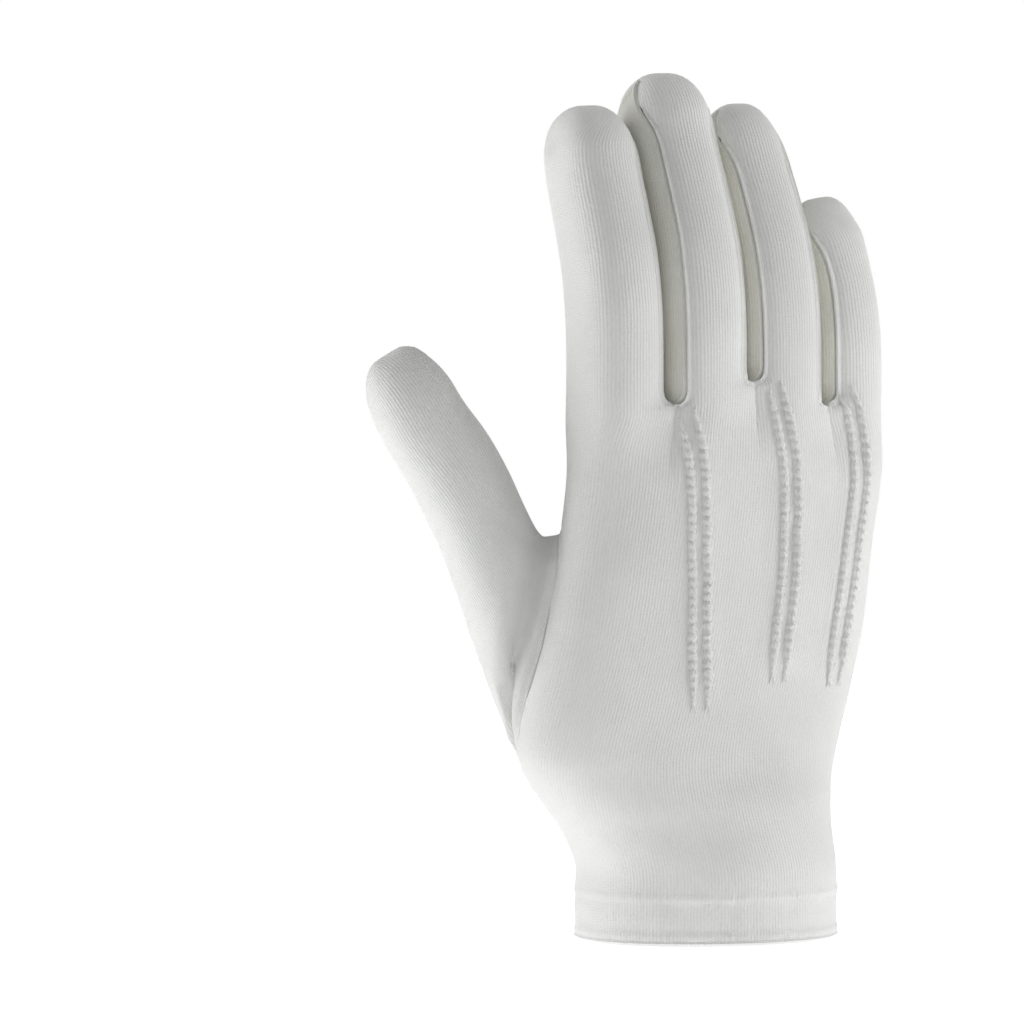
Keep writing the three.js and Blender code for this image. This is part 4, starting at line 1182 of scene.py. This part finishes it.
def welt_piece(tree, point, side, name):
    """A raised point's welt: a roll of cloth caught down by stitches, so that it swells
    between them. The one on the little finger's side is the bolder."""
    bold = 1.0 if side > 0 else 0.72
    turn = np.random.default_rng(20 + point * 2 + (side > 0))
    t = np.arange(WELT_RINGS + 1) / WELT_RINGS
    low = POINT_TOPS[point] * CROTCH_HEIGHT - POINT_LENGTH
    height = low + POINT_LENGTH * t - (2.5 * t if side < 0 else 0)
    x = follow(POINTS[point], "x", (height - low) / POINT_LENGTH) * HAND_WIDTH
    x = x + side * WELT_SPACING / 2 + 0.12 * np.sin(t * 19 + point)
    fade = np.minimum(1, 0.35 + 7 * np.minimum(t, 1 - t))
    knots = np.interp(t, np.linspace(0, 1, 33), turn.uniform(0.8, 1.2, 33))
    swell = 0.74 + 0.3 * np.abs(np.sin(math.pi * t * POINT_LENGTH / KNOT_PITCH)) * knots
    around = np.radians(np.linspace(-14, 194, 11))
    rings, crest = [], []
    for k in range(WELT_RINGS + 1):
        spot, normal = seat(tree, (x[k], -80, height[k]), (0, 1, 0))
        normal = unit(normal * np.array([1, 1, 0.2]))
        across = unit(np.cross(normal, (0, 0, 1)))
        half = WELT_WIDTH / 2 * fade[k] * swell[k] * mix(0.85, 1, bold)
        tall = WELT_HEIGHT * fade[k] * swell[k] * bold
        ring = [
            spot + across * math.cos(angle) * half + normal * (math.sin(angle) * tall + 0.1)
            for angle in around
        ]
        rings.append(ring)
        crest.append((spot + normal * (tall + 0.05), normal))
    points = np.array(rings)
    count = len(around)
    faces = []
    for j in range(WELT_RINGS):
        for i in range(count):
            n = (i + 1) % count
            faces.append([j * count + i, (j + 1) * count + i, (j + 1) * count + n, j * count + n])
    faces.append(list(range(count)))
    faces.append([WELT_RINGS * count + i for i in range(count - 1, -1, -1)])
    flat = own_map(points).reshape(-1, 2)
    piece = new_piece(name, points, faces, [flat[v] for face in faces for v in face])
    face_outwards(piece)
    shade_soft(piece, 60)
    return piece, crest


def snap_cap_piece():
    """The snap's cap: a thin enamelled disc with a rolled rim, at the top of its solid."""
    points = np.array([v.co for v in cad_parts["snap_cap"].data.vertices])
    axis = snap_axis()
    foot = cloth_point(SNAP_ANGLE, SNAP_HEIGHT) * MM
    top = float(((points - foot) @ axis).max())
    turn = Vector((0, 0, 1)).rotation_difference(Vector(axis)).to_euler()
    middle = foot + axis * (top - CAP_THICKNESS * MM / 2)
    bpy.ops.mesh.primitive_cylinder_add(
        vertices=96,
        radius=CAP_RADIUS * MM,
        depth=CAP_THICKNESS * MM,
        location=middle,
        rotation=turn,
    )
    piece = bpy.context.object
    piece.name = piece.data.name = "snap_button"
    bpy.ops.object.transform_apply(location=True, rotation=True, scale=True)
    bpy.ops.object.mode_set(mode="EDIT")
    bpy.ops.mesh.select_mode(type="FACE")
    bpy.ops.mesh.select_all(action="DESELECT")
    bpy.ops.object.mode_set(mode="OBJECT")
    for face in piece.data.polygons:
        face.select = Vector(face.normal).dot(Vector(axis)) > 0.9
    bpy.ops.object.mode_set(mode="EDIT")
    for inset, rise in ((0.75, 0.16), (0.35, -0.14)):
        bpy.ops.mesh.inset(thickness=inset * MM)
        bpy.ops.transform.translate(value=Vector(axis) * (rise * MM))
    bpy.ops.object.mode_set(mode="OBJECT")
    apply_modifier(piece, "BEVEL", width=0.22 * MM, segments=3, limit_method="ANGLE")
    shade_soft(piece, 40)
    return piece


def snap_axis():
    x, y, z = hand_normal(np.float64(SNAP_ANGLE), np.float64(SNAP_HEIGHT))
    s, c = math.sin(SNAP_LEAN), math.cos(SNAP_LEAN)
    return np.array([x * c - y * s, x * s + y * c, z])


# Shader reckoning
class Shade:
    """A socket that can be reckoned with: each operator adds its Math node."""

    def __init__(self, tree, socket):
        self.tree, self.socket = tree, socket

    def _math(self, operation, first, second=None):
        node = self.tree.nodes.new("ShaderNodeMath")
        node.operation = operation
        for slot, value in enumerate((first, second)):
            if isinstance(value, Shade):
                self.tree.links.new(value.socket, node.inputs[slot])
            elif value is not None:
                node.inputs[slot].default_value = value
        return Shade(self.tree, node.outputs[0])

    def __add__(self, other):
        return self._math("ADD", self, other)

    __radd__ = __add__

    def __mul__(self, other):
        return self._math("MULTIPLY", self, other)

    __rmul__ = __mul__

    def __sub__(self, other):
        return self._math("SUBTRACT", self, other)

    def __rsub__(self, other):
        return self._math("SUBTRACT", other, self)

    def sine(self):
        return self._math("SINE", self)

    def held(self):
        node = self._math("ADD", self, 0.0)
        node.socket.node.use_clamp = True
        return node


class Finish:
    """A material whose nodes are added one call at a time."""

    def __init__(self, name):
        self.material = bpy.data.materials.new(name)
        self.material.use_nodes = True
        self.tree = self.material.node_tree
        self.shader = self.tree.nodes["Principled BSDF"]

    def node(self, kind, settings=None, output=0, **values):
        node = self.tree.nodes.new("ShaderNode" + kind)
        for name, value in (settings or {}).items():
            setattr(node, name, value)
        for name, value in values.items():
            self.feed(node.inputs[name.replace("_", " ")], value)
        return Shade(self.tree, node.outputs[output])

    def feed(self, socket, value):
        if isinstance(value, Shade):
            self.tree.links.new(value.socket, socket)
        else:
            socket.default_value = value

    def set(self, **values):
        for name, value in values.items():
            self.feed(self.shader.inputs[name.replace("_", " ")], value)
        return self

    def blend(self, share, low, high):
        node = self.tree.nodes.new("ShaderNodeMix")
        node.data_type = "RGBA"
        self.feed(node.inputs[0], share)
        self.feed(node.inputs[6], low)
        self.feed(node.inputs[7], high)
        return Shade(self.tree, node.outputs[2])

    def noise(self, scale, detail=2.0):
        place = self.node("TexCoord", output=3)
        return self.node("TexNoise", Vector=place, Scale=scale, Detail=detail)

    def knit_place(self):
        """How far across the wales and along them, in millimetres."""
        uv = self.node("UVMap", {"uv_map": "knit"})
        parts = self.node("SeparateXYZ", Vector=uv).socket.node
        return Shade(self.tree, parts.outputs[0]), Shade(self.tree, parts.outputs[1])


WALE = 0.87
COURSE = 0.72


def knit_finish(name, light, dark, relief=0.0002, strength=0.75):
    finish = Finish(name)
    across, along = finish.knit_place()
    wander = finish.noise(90.0)
    across = across + (wander - 0.5) * 0.5
    wave = (across * (2 * math.pi / WALE)).sine()
    ridge = wave * 0.5 + 0.5
    loop = (along * (2 * math.pi / COURSE) + wave * 1.3).sine() * 0.5 + 0.5
    fuzz = finish.noise(1700.0, 4.0)
    height = ridge * 0.42 + ridge * loop * 0.28 + fuzz * 1.2
    mottle = finish.noise(45.0, 4.0)
    # Base colour from the knit's height and mottle: darker in the grooves between the wales and
    # lighter on their ridges, which is painted shade; the mottle and fuzz in it are the cloth's own
    # random tone
    groove_shade_and_mottle = (height * 0.5 + mottle * 0.7 - 0.22).held()
    finish.set(
        Base_Color=finish.blend(groove_shade_and_mottle, dark, light),
        Roughness=0.93,
        Specular_IOR_Level=0.22,
        Sheen_Weight=0.22,
        Sheen_Roughness=0.55,
        Normal=finish.node("Bump", Height=height, Strength=strength, Distance=relief),
    )
    return finish.material


def thread_finish(name, light, dark):
    finish = Finish(name)
    twist = finish.noise(3200.0, 2.0)
    finish.set(
        Base_Color=finish.blend(twist, dark, light),
        Roughness=0.85,
        Specular_IOR_Level=0.3,
        Sheen_Weight=0.2,
        Normal=finish.node("Bump", Height=twist, Strength=0.4, Distance=0.0001),
    )
    return finish.material


def snap_finish(name):
    finish = Finish(name)
    cloud = finish.noise(160.0, 3.0)
    fine = finish.noise(1800.0, 2.0)
    finish.set(
        Base_Color=finish.blend(cloud, (0.5, 0.53, 0.56, 1), (0.6, 0.63, 0.66, 1)),
        Metallic=0.35,
        Roughness=0.3 + 0.12 * cloud,
        Coat_Weight=0.25,
        Coat_Roughness=0.2,
        Normal=finish.node("Bump", Height=fine, Strength=0.06, Distance=0.00005),
    )
    return finish.material


def wear(piece, material, slot, *nodes):
    """Gives a piece its finish, hangs it under the root and hides the solids it stands for."""
    piece.data.materials.clear()
    piece.data.materials.append(material)
    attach(piece, "root")
    if nodes:
        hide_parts(*nodes)
    return piece


cotton = knit_finish("cotton_knit", (0.87, 0.875, 0.865, 1), (0.7, 0.7, 0.685, 1))
# The fourchettes are the same white cotton, painted darker and yellower: painted shade of the narrow
# sides between the fingers
fourchette_cotton_painted_shade = knit_finish("fourchette_knit", (0.84, 0.84, 0.79, 1), (0.66, 0.66, 0.6, 1))
welt_cotton = knit_finish("welt_knit", (0.88, 0.88, 0.87, 1), (0.66, 0.66, 0.64, 1))
thread = thread_finish("cotton_thread", (0.9, 0.9, 0.89, 1), (0.74, 0.74, 0.72, 1))
enamel = snap_finish("snap_enamel")

# Flat sizes are the width and length of the blank that each panel is cut from, and the cut's area.
body = wear(trank_piece(), cotton, "cotton_knit", "trank")
thumb = wear(thumb_piece(), cotton, "cotton_knit", "thumb")
SIDES = (
    ("fourchette_index_middle", (0.0225, 0.176), 0.0034),
    ("fourchette_middle_ring", (0.0225, 0.169), 0.0033),
    ("fourchette_ring_little", (0.0215, 0.15), 0.0028),
)
for fork, (node, flat, area) in enumerate(SIDES):
    side = wear(fourchette_piece(fork, "side_" + node[11:]), fourchette_cotton_painted_shade, "fourchette_knit", node)
hem_inside = wear(hem_piece(), cotton, "cotton_knit", "hem_ply")
wear(facing_piece(), cotton, "cotton_knit", "slit_facing")
wear(snap_cap_piece(), enamel, "snap", "snap_cap")
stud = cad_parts["snap_stud"]
stud.data.materials.clear()
stud.data.materials.append(enamel)

tree = surface_of(body, thumb)
crests = []
for point in range(3):
    for side, word in ((-1, "left"), (1, "right")):
        name = f"welt_{point + 1}_{word}"
        welt, crest = welt_piece(tree, point, side, name)
        wear(welt, welt_cotton, "welt_knit", f"back_point_{point + 1}_{word}")
        crests.append(crest)


def seen_angle(u, height, low, high):
    """The angle round the hand, between two, at which the cloth shows u across the view."""
    angles = np.linspace(low, high, 400)
    found = []
    for target, z in zip(u, height):
        across = cloth_point(angles, np.full(400, float(z))) @ VIEW_ACROSS
        found.append(angles[np.abs(across - target).argmin()])
    return np.array(found)


def round_cuff(height):
    edge = float(follow(EDGES, "over", height))
    angle = np.linspace(edge - 2, edge - 345, 600)
    return cloth_point(angle, np.full(600, float(height)), 0, True)


over_points = Stitching(tree)
for crest in crests:
    step = POINT_LENGTH / WELT_RINGS
    places = np.arange(3, WELT_RINGS - 2, KNOT_PITCH / step).astype(int)
    over_points.over(crest, places)
point_thread = over_points.make("point_stitches", length=2.3, width=0.4, height=0.34)
wear(point_thread, thread, "welt_knit")

hem = Stitching(tree)
for height in HEM_ROWS:
    hem.row(round_cuff(height), HEM_PITCH, lean=0.1, lift=0.2)
wear(hem.make("hem_stitches", width=0.5, height=0.46), thread, "cotton_knit")

# The long seam that comes from the little finger's edge and crosses the wrist's palm side
SIDE_SEAM_U = np.array([33.0, 31.7, 28.2, 22.7, 18.9, 18.4])
SIDE_SEAM_Z = np.array([47.0, 42.7, 34.2, 22.8, 14.3, 0.6])
seam_z = np.linspace(SIDE_SEAM_Z[0], SIDE_SEAM_Z[-1], 60)
seam_u = np.interp(-seam_z, -SIDE_SEAM_Z, SIDE_SEAM_U)
seam_path = cloth_point(seen_angle(seam_u, seam_z, -190, -262), seam_z)
side_seam = Stitching(tree)
side_seam.row(seam_path, 1.25, lean=0.45)
outer_heights = np.linspace(CROTCH_HEIGHT, finger_tip(3) - 16, 90)
side_seam.row(finger_point(3, np.full(90, 104.0), outer_heights), 1.5, lean=0.35)
outer_low = np.linspace(CROTCH_HEIGHT - 4, 52, 90)
side_seam.row(cloth_point(np.full(90, 100.0), outer_low), 1.5, lean=0.35)
wear(side_seam.make("side_seam_stitches", length=1.15), thread, "cotton_knit")

# Stitches beside the forks, down each finger's seam on the forefinger's side
fork_rows = Stitching(tree)
for finger in (1, 2, 3):
    for angle in (-40.0, -140.0):
        root = float(root_height(finger, angle))
        heights = np.linspace(root + 4, root + 34, 40)
        fork_rows.row(finger_point(finger, np.full(40, angle), heights), 1.7, lean=0.3)
wear(fork_rows.make("fork_stitches", length=0.95, width=0.36), thread, "cotton_knit")

# Faint rows round the keyhole
KEYHOLE_ROWS = (
    ((-0.7, 41.0), (-0.5, 45.6), (-1.8, 50.0), (-5.7, 55.1), (-9.5, 57.6), (-14.2, 58.4)),
    ((-31.0, 53.5), (-33.3, 50.0), (-34.2, 45.0), (-33.3, 40.5), (-31.0, 36.5)),
)
keyhole_rows = Stitching(tree)
for places in KEYHOLE_ROWS:
    u, z = np.array(places).T
    t = np.linspace(0, len(u) - 1, 60)
    u, z = np.interp(t, np.arange(len(u)), u), np.interp(t, np.arange(len(z)), z)
    angle = seen_angle(u, z, -120, -250)
    keyhole_rows.row(cloth_point(angle, z, 0, True), 1.6, lift=0.05)
wear(keyhole_rows.make("keyhole_stitches", length=1.1, width=0.34), thread, "cotton_knit")

# Stage: a pale floor, soft light from both sides, and a long lens
FLOOR = -0.5 * MM
FLOOR_SIZE = 1.6
bpy.ops.mesh.primitive_plane_add(size=FLOOR_SIZE, location=(0, 0, FLOOR))
floor = bpy.context.object
floor.name = "floor"
paper = Finish("floor_paper")
grain = paper.noise(30.0)
paper.set(
    Base_Color=paper.blend(grain, (0.93, 0.93, 0.93, 1), (0.95, 0.95, 0.95, 1)),
    Roughness=0.9,
    Emission_Color=(1, 1, 1, 1),
    Emission_Strength=0.6,
)
floor.data.materials.append(paper.material)


def soft_light(name, place, aim, size, power):
    data = bpy.data.lights.new(name, "AREA")
    data.shape = "RECTANGLE"
    data.size, data.size_y = size
    data.energy = power
    lamp = bpy.data.objects.new(name, data)
    lamp.location = place
    lamp.rotation_euler = (Vector(aim) - Vector(place)).to_track_quat("-Z", "Y").to_euler()
    bpy.context.scene.collection.objects.link(lamp)
    return lamp


VIEW_RISE = math.radians(4)
RIGHT = Vector(VIEW_ACROSS)
AHEAD = -Vector(VIEW_TOWARDS)
HEART = Vector((0, 0, 0.115))
UP = Vector((0, 0, 1))
for word, way in (("left", -0.75), ("right", 0.75)):
    place = HEART + RIGHT * way + AHEAD * 0.02
    soft_light(word + "_softbox", place, HEART, (0.5, 1.2), 5.2)
for word, way, rise, power in (("front", -1.6, 0.5, 1.6), ("rear", 1.6, 0.6, 3.0)):
    place = HEART + AHEAD * way + UP * rise
    soft_light(word + "_fill", place, HEART, (0.9, 0.9), power)
soft_light("top_light", AHEAD * 0.1 + UP * 1.1, AHEAD * 0.1, (1.7, 1.7), 4.0)

world = bpy.data.worlds.new("studio")
bpy.context.scene.world = world
world.use_nodes = True
sky = world.node_tree
background = sky.nodes["Background"]
background.inputs["Color"].default_value = (1, 1, 1, 1)
background.inputs["Strength"].default_value = 0.14
backdrop = sky.nodes.new("ShaderNodeBackground")
backdrop.inputs["Color"].default_value = (1, 1, 1, 1)
backdrop.inputs["Strength"].default_value = 1.0
light_path = sky.nodes.new("ShaderNodeLightPath")
choose = sky.nodes.new("ShaderNodeMixShader")
sky.links.new(light_path.outputs["Is Camera Ray"], choose.inputs[0])
sky.links.new(background.outputs[0], choose.inputs[1])
sky.links.new(backdrop.outputs[0], choose.inputs[2])
sky.links.new(choose.outputs[0], sky.nodes["World Output"].inputs["Surface"])

bpy.context.scene.view_settings.view_transform = "Standard"

PIXEL = 0.265 * MM
ORIGIN_AT = (706.5, 937.0)
IMAGE = 1024
DISTANCE = 3.2
aim = RIGHT * ((IMAGE / 2 - ORIGIN_AT[0]) * PIXEL)
aim = aim + Vector((0, 0, (ORIGIN_AT[1] - IMAGE / 2) * PIXEL))
lens = bpy.data.cameras.new("photo_camera")
lens.sensor_width = 36
lens.lens = 36 * DISTANCE / (IMAGE * PIXEL)
lens.clip_end = 50
camera = bpy.data.objects.new("photo_camera", lens)
back_off = AHEAD * -math.cos(VIEW_RISE) + Vector((0, 0, math.sin(VIEW_RISE)))
camera.location = aim + back_off * DISTANCE
camera.rotation_euler = (-back_off).to_track_quat("-Z", "Y").to_euler()
bpy.context.scene.collection.objects.link(camera)
bpy.context.scene.camera = camera
